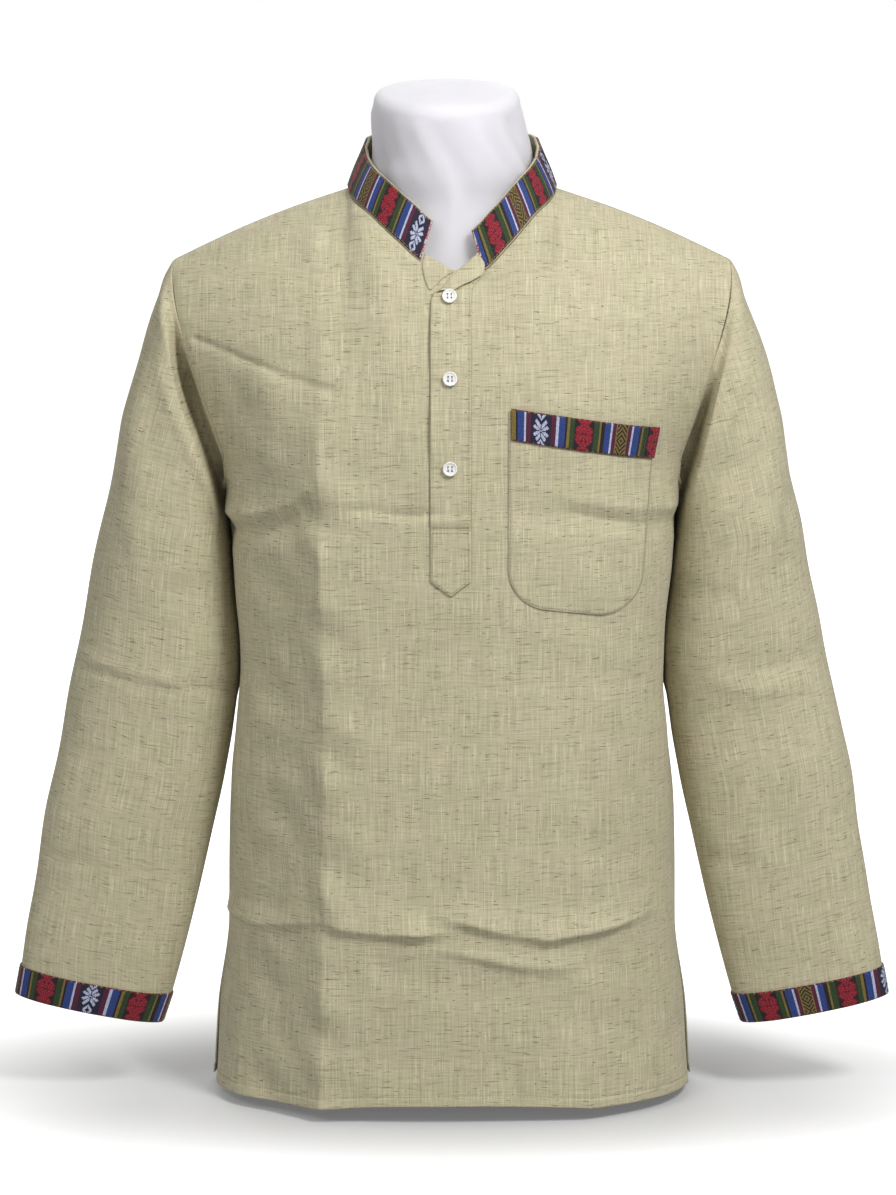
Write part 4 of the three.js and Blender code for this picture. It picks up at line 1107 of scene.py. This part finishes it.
@lru_cache(maxsize=None)
def sewing_thread(name, code):
    """Spun polyester thread: a twisted, slightly shiny yarn."""
    material, tree, shader = new_material(name)
    place = add(tree, "TexCoord").outputs["Object"]
    dark = [c * 0.6 for c in linear(code)]
    tone = mix(tree, noise(tree, place, 2200.0), (*dark, 1), (*linear(code), 1))
    surface(tree, shader, tone, {"Roughness": 0.6})
    return material


def studio_floor(colour):
    """A white floor that glows only where the camera sees it, so that it looks as white as the sky behind it;
    near the form the glow is weaker, which paints a soft shadow round its base.
    """
    material, tree, shader = new_material("Studio floor, white glow with painted shadow")
    shader.inputs["Base Color"].default_value = (*colour, 1)
    shader.inputs["Roughness"].default_value = 0.9
    shader.inputs["Emission Color"].default_value = (1, 1, 1, 1)
    seen = add(tree, "LightPath").outputs["Is Camera Ray"]
    place = add(tree, "TexCoord").outputs["Object"]
    near = add(tree, "VectorMath", {0: place, 1: (0.55, 1.0, 1.0)}, operation="MULTIPLY").outputs[0]
    away = add(tree, "VectorMath", {0: near}, operation="LENGTH").outputs["Value"]
    # Painted shadow: the glow fades towards the form's base, so the floor looks darker round it.
    glow_with_painted_shadow = add(tree, "MapRange", {0: away, 1: 0.1, 2: 0.36, 3: 0.14, 4: 1.1}, interpolation_type="SMOOTHSTEP")
    tree.links.new(maths(tree, "MULTIPLY", seen, glow_with_painted_shadow.outputs[0]), shader.inputs["Emission Strength"])
    return material


def white_sky(strength):
    """Plain white all round; what the camera sees of it is full white, and what lights the cloth is less."""
    world = bpy.data.worlds.new("white sky")
    world.use_nodes = True
    tree = world.node_tree
    seen = add(tree, "LightPath").outputs["Is Camera Ray"]
    level = maths(tree, "MULTIPLY_ADD", seen, 1.0 - strength, strength)
    sky = tree.nodes["Background"]
    sky.inputs[0].default_value = (1, 1, 1, 1)
    tree.links.new(level, sky.inputs[1])
    return world


# --- Woven trims ------------------------------------------------------------------------------------

def stripe_codes(count, start):
    """What each cell along a trim holds: a thread's code, or a motif and the column in its chart."""
    cells = []
    while len(cells) < count:
        code, width = STRIPES[start % len(STRIPES)]
        start += 1
        if code in MOTIFS:
            half = len(MOTIFS[code][0])
            cells += [(code, half - 1 - abs(half - 1 - c)) for c in range(2 * half - 1)]
        else:
            cells += [(code, None)] * width
    return cells[:count]


def trim_cells(rows, count, start, skip=0, lead=0, top=25, ends=False):
    """Colour and relief of each cell of a trim, rows up it and cells along it. The first stripe loses
    skip cells or gains lead cells, and top is the row of the chart that lies at the bottom."""
    codes = stripe_codes(count + skip, start)[skip:]
    codes = ([codes[0]] * lead + codes)[:count]
    rng = np.random.default_rng(rows * 1000 + count + start)
    colours = np.ones((rows, count, 4))
    relief = np.zeros((rows, count))
    for i, (code, column) in enumerate(codes):
        for j in range(rows):
            letter = code if column is None else MOTIFS[code][(top - j) % 26][column]
            if j in (0, rows - 1) and rng.random() < 0.7:
                letter = "grk"[i // 2 % 3]
            if ends and i in (0, 1, count - 2, count - 1):
                letter = "cpwrc"[rng.integers(5)]
            colours[j, i, :3] = np.array(linear(THREAD_COLOURS[letter])) * rng.uniform(0.8, 1.2)
            relief[j, i] = 0.25 if column is not None and letter not in "kn" else 0.0
    return colours, relief


def trim_wall(name, outer, normals, colours, relief, wrap=False):
    """A trim with its motif threads standing a little proud and its long edges rolled down."""
    rows, columns = outer.shape[:2]
    padded = np.pad(relief, 1, mode="wrap" if wrap else "edge")
    corner = ((padded[:-1, :-1] + padded[1:, :-1] + padded[:-1, 1:] + padded[1:, 1:]) / 4)[:rows, :columns]
    edge = np.minimum(np.arange(rows), np.arange(rows)[::-1])[:, None]
    roll = -0.45 * np.exp(-edge / 0.8)
    top = outer + normals * (GAP + TRIM + corner + roll)[..., None]
    obj = wall(name, top, outer + normals * GAP, wrap, cloth_uv(outer, wrap), colours)
    return dress(obj, woven_trim(), "woven_trim")


# --- Operators --------------------------------------------------------------------------------------

def watts(name, lamp, power):
    return bpy.props.FloatProperty(
        name=name, description=f"Power of the {lamp}, in watts", default=power, min=0, subtype="POWER")


class KurtaSizes(bpy.types.PropertyGroup):
    """Sizes that a user would change."""

    stitch_pitch: bpy.props.FloatProperty(
        name="Stitch pitch", description="Distance from one stitch to the next, in millimetres",
        default=2.6, min=1.5, max=6)
    thread_radius: bpy.props.FloatProperty(
        name="Thread radius", description="Radius of the sewing thread, in millimetres",
        default=0.21, min=0.1, max=0.6)
    key_power: watts("Key light", "main light", 52)
    fill_power: watts("Fill light", "fill light", 28)
    rear_power: watts("Rear light", "light behind", 45)
    sky_strength: bpy.props.FloatProperty(
        name="Sky", description="Strength of the light that comes from all round", default=0.24, min=0)


class KurtaColours(bpy.types.PropertyGroup):
    """Colours that a user would change."""

    floor: bpy.props.FloatVectorProperty(
        name="Floor", description="Colour of the floor", subtype="COLOR", size=3,
        default=linear("#b4b4b4"), min=0, max=1)


class Maker:
    """What every operator here shares."""

    bl_options = {"REGISTER", "UNDO"}

    @classmethod
    def poll(cls, context):
        return context.mode == "OBJECT"


class KURTA_OT_stage(Maker, bpy.types.Operator):
    """Floor, camera, lights and sky"""

    bl_idname = "kurta.stage"
    bl_label = "Stage"

    def execute(self, context):
        sizes, colours = context.scene.kurta_sizes, context.scene.kurta_colours
        deselect_all()
        bpy.ops.mesh.primitive_plane_add(size=24, location=(0, 0, 0))
        floor = context.active_object
        floor.name = "floor"
        floor.data.materials.append(studio_floor(colours.floor))
        data = bpy.data.cameras.new("camera")
        data.lens = 142.607
        data.sensor_width = 36
        camera = bpy.data.objects.new("camera", data)
        context.scene.collection.objects.link(camera)
        place, aim = Vector((-3.1, -3600, 955)) * MM, Vector((-3.1, 0, 384)) * MM
        camera.location = place
        camera.rotation_mode = "QUATERNION"
        camera.rotation_quaternion = (aim - place).to_track_quat("-Z", "Y")
        context.scene.camera = camera
        for name, spot, size, watts in (
                ("key", (1.12, -1.52, 2.15), 0.8, sizes.key_power),
                ("fill", (-1.6, -2.1, 2.2), 1.6, sizes.fill_power),
                ("rear", (-0.4, 2.8, 1.9), 2.4, sizes.rear_power)):
            lamp = bpy.data.lights.new(name, "AREA")
            lamp.shape = "DISK"
            lamp.size = size
            lamp.energy = watts
            holder = bpy.data.objects.new(name, lamp)
            context.scene.collection.objects.link(holder)
            holder.location = spot
            holder.rotation_mode = "QUATERNION"
            holder.rotation_quaternion = (Vector((0, 0, 0.45)) - Vector(spot)).to_track_quat("-Z", "Y")
        context.scene.world = white_sky(sizes.sky_strength)
        context.scene.view_settings.view_transform = "Standard"
        return {"FINISHED"}


class KURTA_OT_form(Maker, bpy.types.Operator):
    """Foam dress form in its jersey cover"""

    bl_idname = "kurta.form"
    bl_label = "Dress form"

    def execute(self, context):
        sides, high = 120, FORM[-1]["height"]
        angle = np.linspace(0, 2 * math.pi, sides, endpoint=False)
        heights = np.concatenate([[0, 4, 8, 12], np.arange(20, 640, 10), np.arange(640, high, 3), [high]])
        rings = [(h, 0, 0) for h in heights]
        rings += [(high, CAP["round"] * (1 - math.cos(t)), CAP["round"] * math.sin(t))
                  for t in np.radians(np.arange(12, 91, 13))]
        rings += [(high, CAP["round"] + inset, CAP["round"] + CAP["lift"] * share)
                  for inset, share in ((8, 0.35), (18, 0.65), (30, 0.9))]
        rows = []
        for height, inset, lift in rings:
            half, front, back, square = (float(along(FORM, "height", k, height))
                                         for k in ("half", "front", "back", "square"))
            slack = 1.2 * (1 - smooth(690, 712, height))  # the jersey lies a little inside the cloth
            depth = np.where(np.sin(angle) < 0, front, back) - inset - slack
            x = (half - inset - slack) * power(np.cos(angle), 2 / square)
            y = depth * power(np.sin(angle), 2 / square)
            aside = CAP["aside"] * smooth(CAP["aside_from"], high, height)
            z = height + lift + CAP["tilt"] * smooth(CAP["tilt_from"], high, height) * y
            # Soft upright folds where the jersey is gathered round the neck.
            ripple = 0.9 * smooth(655, 715, height) * (1 - smooth(high - 8, high, height))
            turn = angle + 0.16 * math.sin(height / 23)
            ripple = ripple * (np.sin(6 * turn + 0.6) + 0.7 * np.sin(11 * turn + 2.0)
                               + 0.45 * np.sin(17 * turn + height / 40))
            rows.append(stack(x + aside + ripple * np.cos(angle), y + ripple * np.sin(angle), z))
        grid = np.array(rows)
        count = len(grid)
        points = np.concatenate([grid.reshape(-1, 3), [[0, 0, 0]],
                                 [[CAP["aside"], 0, high + CAP["round"] + CAP["lift"]]]])
        j, i = np.meshgrid(np.arange(count - 1), np.arange(sides), indexing="ij")
        t = (i + 1) % sides
        quads = np.stack([j * sides + i, j * sides + t, (j + 1) * sides + t, (j + 1) * sides + i], -1)
        faces = quads.reshape(-1, 4).tolist()
        low, top = count * sides, count * sides + 1
        for s in range(sides):
            t = (s + 1) % sides
            faces.append([low, t, s])
            faces.append([(count - 1) * sides + s, (count - 1) * sides + t, top])
        form = mesh_object("form_jersey", points, faces)
        dress(form, form_jersey(), "form_jersey", "form")
        return {"FINISHED"}


class KURTA_OT_panels(Maker, bpy.types.Operator):
    """Front and back panels with their creases and turned hems"""

    bl_idname = "kurta.panels"
    bl_label = "Front and back"

    def execute(self, context):
        for side, name, length in ((-1, "front", 0.72), (1, "back", 0.73)):
            cloth = panel(side)
            inner = cloth["outer"] - cloth["normals"] * CLOTH
            obj = wall(f"{name}_cloth", cloth["outer"], inner, uv=panel_uv(cloth))
            dress(obj, slub_cloth(), "slub_cloth", f"{name}_panel")
        return {"FINISHED"}


class KURTA_OT_sleeves(Maker, bpy.types.Operator):
    """Set-in sleeves and the woven trims round their cuffs"""

    bl_idname = "kurta.sleeves"
    bl_label = "Sleeves and cuffs"

    def execute(self, context):
        for name in ("left", "right"):
            cloth = sleeve(name)
            facing = (lambda grid: grid) if name == "left" else mirrored
            under = -int(np.argmin(np.abs(cloth["turns"] - 180)))
            outer = facing(np.roll(cloth["outer"], under, 1))
            inner = facing(np.roll(cloth["outer"] - cloth["normals"] * CLOTH, under, 1))
            obj = wall(f"sleeve_cloth_{name}", outer, inner, True, sleeve_uv(outer, cloth["cap_rows"]))
            dress(obj, slub_cloth(), "slub_cloth", f"sleeve_{name}")
            self.cuff(name, facing)
        return {"FINISHED"}

    def cuff(self, name, facing):
        """The trim covers the sleeve between its last two rings."""
        cloth = sleeve(name)
        high, low = cloth["outer"][-CUFF_ROWS], cloth["outer"][-1]
        rows, count = 29, int(run_length(np.concatenate([low, low[:1]]), 0)[-1] / TRIM_CELL)
        rings = [high + (low - high) * share for share in np.linspace(0, 1, rows + 1)]
        lines = [resampled(np.concatenate([ring, ring[:1]]), count + 1)[:-1] for ring in rings]
        grid = facing(np.array(lines))
        start, skip = (0, 4) if name == "left" else (14, 2)
        colours, relief = trim_cells(rows, count, start, skip)
        if name == "right":
            colours, relief = colours[:, ::-1], relief[:, ::-1]
        obj = trim_wall(f"cuff_ribbon_{name}", grid, grid_normals(grid, True), colours, relief, True)
        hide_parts(f"cuff_trim_{name}")


class KURTA_OT_collar(Maker, bpy.types.Operator):
    """Stand collar and its woven trim"""

    bl_idname = "kurta.collar"
    bl_label = "Collar"

    def execute(self, context):
        shares = np.array([0, 0.01, 0.03, *np.linspace(0.06, 0.94, 22), 0.97, 0.99, 1])
        outer, normals = collar_grid(shares, 190)
        inner = outer - normals * BAND
        obj = wall("collar_band", outer, inner, uv=cloth_uv(outer))
        dress(obj, slub_cloth(), "slub_cloth", "collar")
        rows = 36
        outer, normals = collar_grid(np.linspace(*COLLAR_TRIM_SPAN, rows + 1), COLLAR_CELLS + 1)
        colours, relief = trim_cells(rows, COLLAR_CELLS, 3, top=30, ends=True)
        obj = trim_wall("collar_ribbon", outer, normals, colours, relief)
        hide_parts("collar_trim")
        return {"FINISHED"}


def edge_grid(edges, rows, columns):
    """Places (x, height) between the two edges of a table, rows up it and columns across it."""
    knots = np.array([[row[k] for k in ("left_x", "left_z", "right_x", "right_z")] for row in edges], float)
    line = resampled(knots, rows)
    share = np.linspace(0, 1, columns)[None, :]
    x = line[:, :1] * (1 - share) + line[:, 2:3] * share
    z = line[:, 1:2] * (1 - share) + line[:, 3:4] * share
    return x, z


def layer_on_front(name, x, z, thick, lift=0.0, relief=0.0):
    """A layer of cloth on the front with soft edges, over a net of places (x, height)."""
    far = np.minimum(np.hypot(x - x[:, :1], z - z[:, :1]), np.hypot(x - x[:, -1:], z - z[:, -1:]))
    round_off = 0.55 * thick * np.exp(-far / 0.7)
    outer, normals = on_front(x, z, GAP + thick + lift + relief - round_off)
    inner, _ = on_front(x, z, GAP + lift)
    obj = wall(name, outer, inner, uv=stack(x, z) * MM)
    return dress(obj, slub_cloth(), "slub_cloth")


class KURTA_OT_placket(Maker, bpy.types.Operator):
    """Half placket: the upper layer with its folded top corner, and the edge of the lower one"""

    bl_idname = "kurta.placket"
    bl_label = "Placket"

    def execute(self, context):
        x, z = edge_grid(PLACKET_EDGES, 200, 34)
        # The free edge of the upper layer gapes a little between the buttons.
        gape = np.exp(-(x + 16.4) / 7) * smooth(462, 500, z) * (1 - smooth(618, 630, z))
        gape = gape * (1.3 + 0.9 * np.cos((z - 530) / 64 * 6.283))
        # The stitched box at the foot of the opening puckers.
        gape += 0.9 * np.exp(-(((z - 460.5) / 3.2) ** 2)) - 0.5 * np.exp(-(((z - 454) / 2) ** 2))
        obj = layer_on_front("placket_cloth", x, z, PLACKET_LAYER["cloth"], relief=gape)
        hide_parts("placket")
        x, z = edge_grid(LAPEL_EDGES, 60, 20)
        share = np.linspace(0, 1, 20)[None, :]
        obj = layer_on_front("placket_corner_cloth", x, z, 1.1, lift=1.9 + 1.6 * share)
        x, z = edge_grid(UNDER_EDGES, 40, 26)
        obj = layer_on_front("under_placket_cloth", x, z, 0.8)
        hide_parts("under_placket")
        return {"FINISHED"}


def pocket_edges():
    """The pocket's two edges from its bottom up, with quarter-round lower corners."""
    left, right, top, fall = (POCKET[k] for k in ("left", "right", "top", "fall"))
    bottom, corner = POCKET["bottom"], POCKET["corner"]
    low_right = bottom - fall / 4
    rows = []
    for angle in np.radians(np.linspace(90, 0, 10)):
        lift, inset = corner * (1 - math.sin(angle)), corner * (1 - math.cos(angle))
        rows.append((left + inset, bottom + lift, right - inset, low_right + lift))
    rows.append((left, top, right + POCKET["lean"], top - fall))
    return table("left_x left_z right_x right_z", *rows)


def pocket_pout(share, z):
    """How far the pocket's open top stands out, by the share of the way across and the height."""
    return 0.8 * np.sin(np.pi * share) * smooth(470, 525, z)


class KURTA_OT_pocket(Maker, bpy.types.Operator):
    """Patch pocket and the woven trim along its top"""

    bl_idname = "kurta.pocket"
    bl_label = "Pocket"

    def execute(self, context):
        x, z = edge_grid(pocket_edges(), 90, 64)
        pout = pocket_pout(np.linspace(0, 1, 64)[None, :], z)
        obj = layer_on_front("pocket_cloth", x, z, POCKET_LAYER["cloth"], relief=pout)
        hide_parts("pocket")
        left, right, top, fall, height = (POCKET_TRIM[k] for k in ("left", "right", "top", "fall", "height"))
        rows, share = 26, np.linspace(0, 1, 200)
        across = left + (right - left) * share
        length = run_length(on_front(across, top - fall * share)[0], 0)[-1]
        count = int(length / TRIM_CELL)
        share = np.linspace(0, 1, count + 1)[None, :]
        up = np.linspace(0, 1, rows + 1)[:, None]
        x = left + (right - left) * share - POCKET_TRIM["slant"] * share * (1 - up)
        z = top - fall * share - height * (1 - up)
        points, normals = on_front(x, z, GAP + POCKET_LAYER["ribbon"] + pocket_pout(share, z))
        colours, relief = trim_cells(rows, count, 23, lead=3)
        obj = trim_wall("pocket_ribbon", points, normals, colours, relief)
        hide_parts("pocket_trim")
        return {"FINISHED"}


class KURTA_OT_buttons(Maker, bpy.types.Operator):
    """Four-hole buttons and the thread that holds them"""

    bl_idname = "kurta.buttons"
    bl_label = "Buttons"

    def execute(self, context):
        first = self.model_button(context)
        thread = self.model_thread(context)
        for row in BUTTONS:
            point, normal = on_front(np.array(row["x"], float), np.array(row["height"], float),
                                     np.array(GAP + PLACKET_LAYER["cloth"] + BUTTON["off"]))
            turn = Vector((0, 0, 1)).rotation_difference(Vector(normal)).to_matrix().to_4x4()
            turn.translation = Vector(point) * MM
            for source, name, material, slot in (
                    (first, row["name"] + "_disc", button_plastic(), "button_plastic"),
                    (thread, row["name"] + "_thread", sewing_thread("White button thread", "#cfd3e4"),
                     "button_plastic")):
                data = source.data.copy()
                data.transform(turn)
                copy = bpy.data.objects.new(name, data)
                context.scene.collection.objects.link(copy)
                dress(copy, material, slot, *([row["name"]] if source is first else []))
        for source in (first, thread):
            bpy.data.objects.remove(source)
        return {"FINISHED"}

    def model_button(self, context):
        """A turned disc with a rounded rim, a dished middle and four drilled holes."""
        deselect_all()
        radius, thick = BUTTON["radius"] * MM, BUTTON["thick"] * MM
        bpy.ops.mesh.primitive_cylinder_add(vertices=64, radius=radius, depth=thick,
                                            location=(0, 0, thick / 2))
        disc = context.active_object
        bpy.ops.object.transform_apply(location=True, rotation=True, scale=True)
        bpy.ops.object.mode_set(mode="EDIT")
        bpy.ops.mesh.select_mode(type="FACE")
        bpy.ops.mesh.select_all(action="DESELECT")
        bpy.ops.object.mode_set(mode="OBJECT")
        for face in disc.data.polygons:
            face.select = face.normal.z > 0.9
        bpy.ops.object.mode_set(mode="EDIT")
        bpy.ops.mesh.inset(thickness=BUTTON["rim"] * MM)
        bpy.ops.mesh.inset(thickness=0.5 * MM)
        bpy.ops.transform.translate(value=(0, 0, -BUTTON["dish"] * MM))
        bpy.ops.object.mode_set(mode="OBJECT")
        bevel = disc.modifiers.new("round edges", "BEVEL")
        bevel.width = 0.45 * MM
        bevel.segments = 3
        bevel.angle_limit = math.radians(25)
        bpy.ops.object.modifier_apply(modifier=bevel.name)
        for x in (-BUTTON["spread"], BUTTON["spread"]):
            for y in (-BUTTON["spread"], BUTTON["spread"]):
                deselect_all()
                bpy.ops.mesh.primitive_cylinder_add(vertices=20, radius=BUTTON["hole"] * MM, depth=4 * thick,
                                                    location=(x * MM, y * MM, 0))
                drill = context.active_object
                deselect_all()
                context.view_layer.objects.active = disc
                disc.select_set(True)
                cut = disc.modifiers.new("hole", "BOOLEAN")
                cut.object = drill
                cut.operation = "DIFFERENCE"
                cut.solver = "EXACT"
                bpy.ops.object.modifier_apply(modifier=cut.name)
                bpy.data.objects.remove(drill)
        bpy.ops.object.shade_smooth_by_angle(angle=math.radians(40))
        return disc

    def model_thread(self, context):
        """Two strands over each bar between the holes."""
        lift = BUTTON["thick"] - BUTTON["dish"] + 0.15
        spread = BUTTON["spread"]
        lines = []
        for x in (-spread, spread):
            for shift in (-0.25, 0.25):
                line = np.array([[x + shift, -spread, lift - 0.7], [x + shift, -spread * 0.6, lift],
                                 [x + shift, spread * 0.6, lift], [x + shift, spread, lift - 0.7]], float)
                lines.append((line, np.tile([0.0, 0, 1], (4, 1))))
        return bars("thread", lines, 40, share=1.0, radius=0.26, lift=0.0)


class KURTA_OT_stitches(Maker, bpy.types.Operator):
    """Rows of sewing along the hems, slits, placket, pocket and collar"""

    bl_idname = "kurta.stitches"
    bl_label = "Stitches"

    def execute(self, context):
        sizes = context.scene.kurta_sizes
        cloth = sewing_thread("Olive sewing thread", "#9c9371")
        for name, lines in (("stitches_hems", self.hems()), ("stitches_placket", self.placket()),
                            ("stitches_pocket", self.pocket()), ("stitches_trims", self.trims())):
            obj = bars(name, lines, sizes.stitch_pitch, radius=sizes.thread_radius)
            dress(obj, cloth, "slub_cloth")
        return {"FINISHED"}

    def hems(self):
        """Along the top of each turned hem, and up both edges of each side slit."""
        lines = []
        for side in (-1, 1):
            cloth = panel(side)
            row = int(np.argmin(np.abs(cloth["outer"][:20, 0, 2] - cloth["outer"][0, 0, 2] - HEM_DEPTH)))
            keep = np.abs(cloth["u"]) < 0.978
            lines.append((cloth["outer"][row, keep], cloth["normals"][row, keep]))
            for edge in (-0.978, 0.978):
                column = int(np.argmin(np.abs(cloth["u"] - edge)))
                high = int(np.argmin(np.abs(cloth["outer"][:, column, 2] - SLIT["height"])))
                lines.append((cloth["outer"][row:high, column], cloth["normals"][row:high, column]))
        return lines

    def placket(self):
        """Down the stitched edge, round the point and across above it."""
        right = [(12.4, 640), (12.4, 416)]
        point = [(12.4, 416), (-1, 406), (-14.8, 416)]
        left = [(-14.8, 416), (-14.8, 452)]
        box = [[(-14.8, 452), (12.4, 452)], [(-14.8, 456), (12.4, 456)]]
        return [self.flat_line(path, PLACKET_LAYER["stitches"]) for path in (right, point, left, *box)]

    def pocket(self):
        """Just inside the pocket's sides and bottom."""
        inset = 1.6
        edges = pocket_edges()
        raised = [inset if k < 5 else 0 for k in range(len(edges))]  # along the bottom and its corners
        left = [(row["left_x"] + inset, row["left_z"] + up) for row, up in zip(edges, raised)]
        right = [(row["right_x"] - inset, row["right_z"] + up) for row, up in zip(edges, raised)]
        return [self.flat_line(left[::-1] + right, POCKET_LAYER["stitches"])]

    def trims(self):
        """Along the long edges of the collar's trim."""
        lines = []
        for share in (COLLAR_TRIM_SPAN[0] + 0.035, COLLAR_TRIM_SPAN[1] - 0.035):
            rows, normals = collar_grid([share - 0.01, share, share + 0.01], 260)
            lines.append((rows[1] + normals[1] * (GAP + TRIM), normals[1]))
        return lines

    def flat_line(self, path, lift):
        """A line of places on the front as points and normals, on top of a layer."""
        places = np.array(path, float)
        count = max(4, int(run_length(places, 0)[-1] / 2))
        places = resampled(places, count)
        return on_front(places[:, 0], places[:, 1], np.full(count, GAP + lift))


class KURTA_PT_panel(bpy.types.Panel):
    """Lists the pieces in the 3D view's sidebar"""

    bl_idname = "KURTA_PT_panel"
    bl_label = "Short kurta"
    bl_space_type = "VIEW_3D"
    bl_region_type = "UI"
    bl_category = "Kurta"

    def draw(self, context):
        for operator in OPERATORS:
            self.layout.operator(operator.bl_idname)
        for group in (context.scene.kurta_sizes, context.scene.kurta_colours):
            for name in group.__annotations__:
                self.layout.prop(group, name)


OPERATORS = (KURTA_OT_stage, KURTA_OT_form, KURTA_OT_panels, KURTA_OT_sleeves, KURTA_OT_collar,
             KURTA_OT_placket, KURTA_OT_pocket, KURTA_OT_buttons, KURTA_OT_stitches)
GROUPS = (KurtaSizes, KurtaColours)


def register():
    for cls in (*GROUPS, *OPERATORS, KURTA_PT_panel):
        bpy.utils.register_class(cls)
    bpy.types.Scene.kurta_sizes = bpy.props.PointerProperty(type=KurtaSizes)
    bpy.types.Scene.kurta_colours = bpy.props.PointerProperty(type=KurtaColours)


def unregister():
    del bpy.types.Scene.kurta_colours
    del bpy.types.Scene.kurta_sizes
    for cls in (KURTA_PT_panel, *reversed(OPERATORS), *reversed(GROUPS)):
        bpy.utils.unregister_class(cls)


def main():
    register()
    bpy.ops.kurta.stage()
    bpy.ops.kurta.form()
    bpy.ops.kurta.panels()
    bpy.ops.kurta.sleeves()
    bpy.ops.kurta.collar()
    bpy.ops.kurta.placket()
    bpy.ops.kurta.pocket()
    bpy.ops.kurta.buttons()
    bpy.ops.kurta.stitches()


if __name__ == "__main__":
    main()
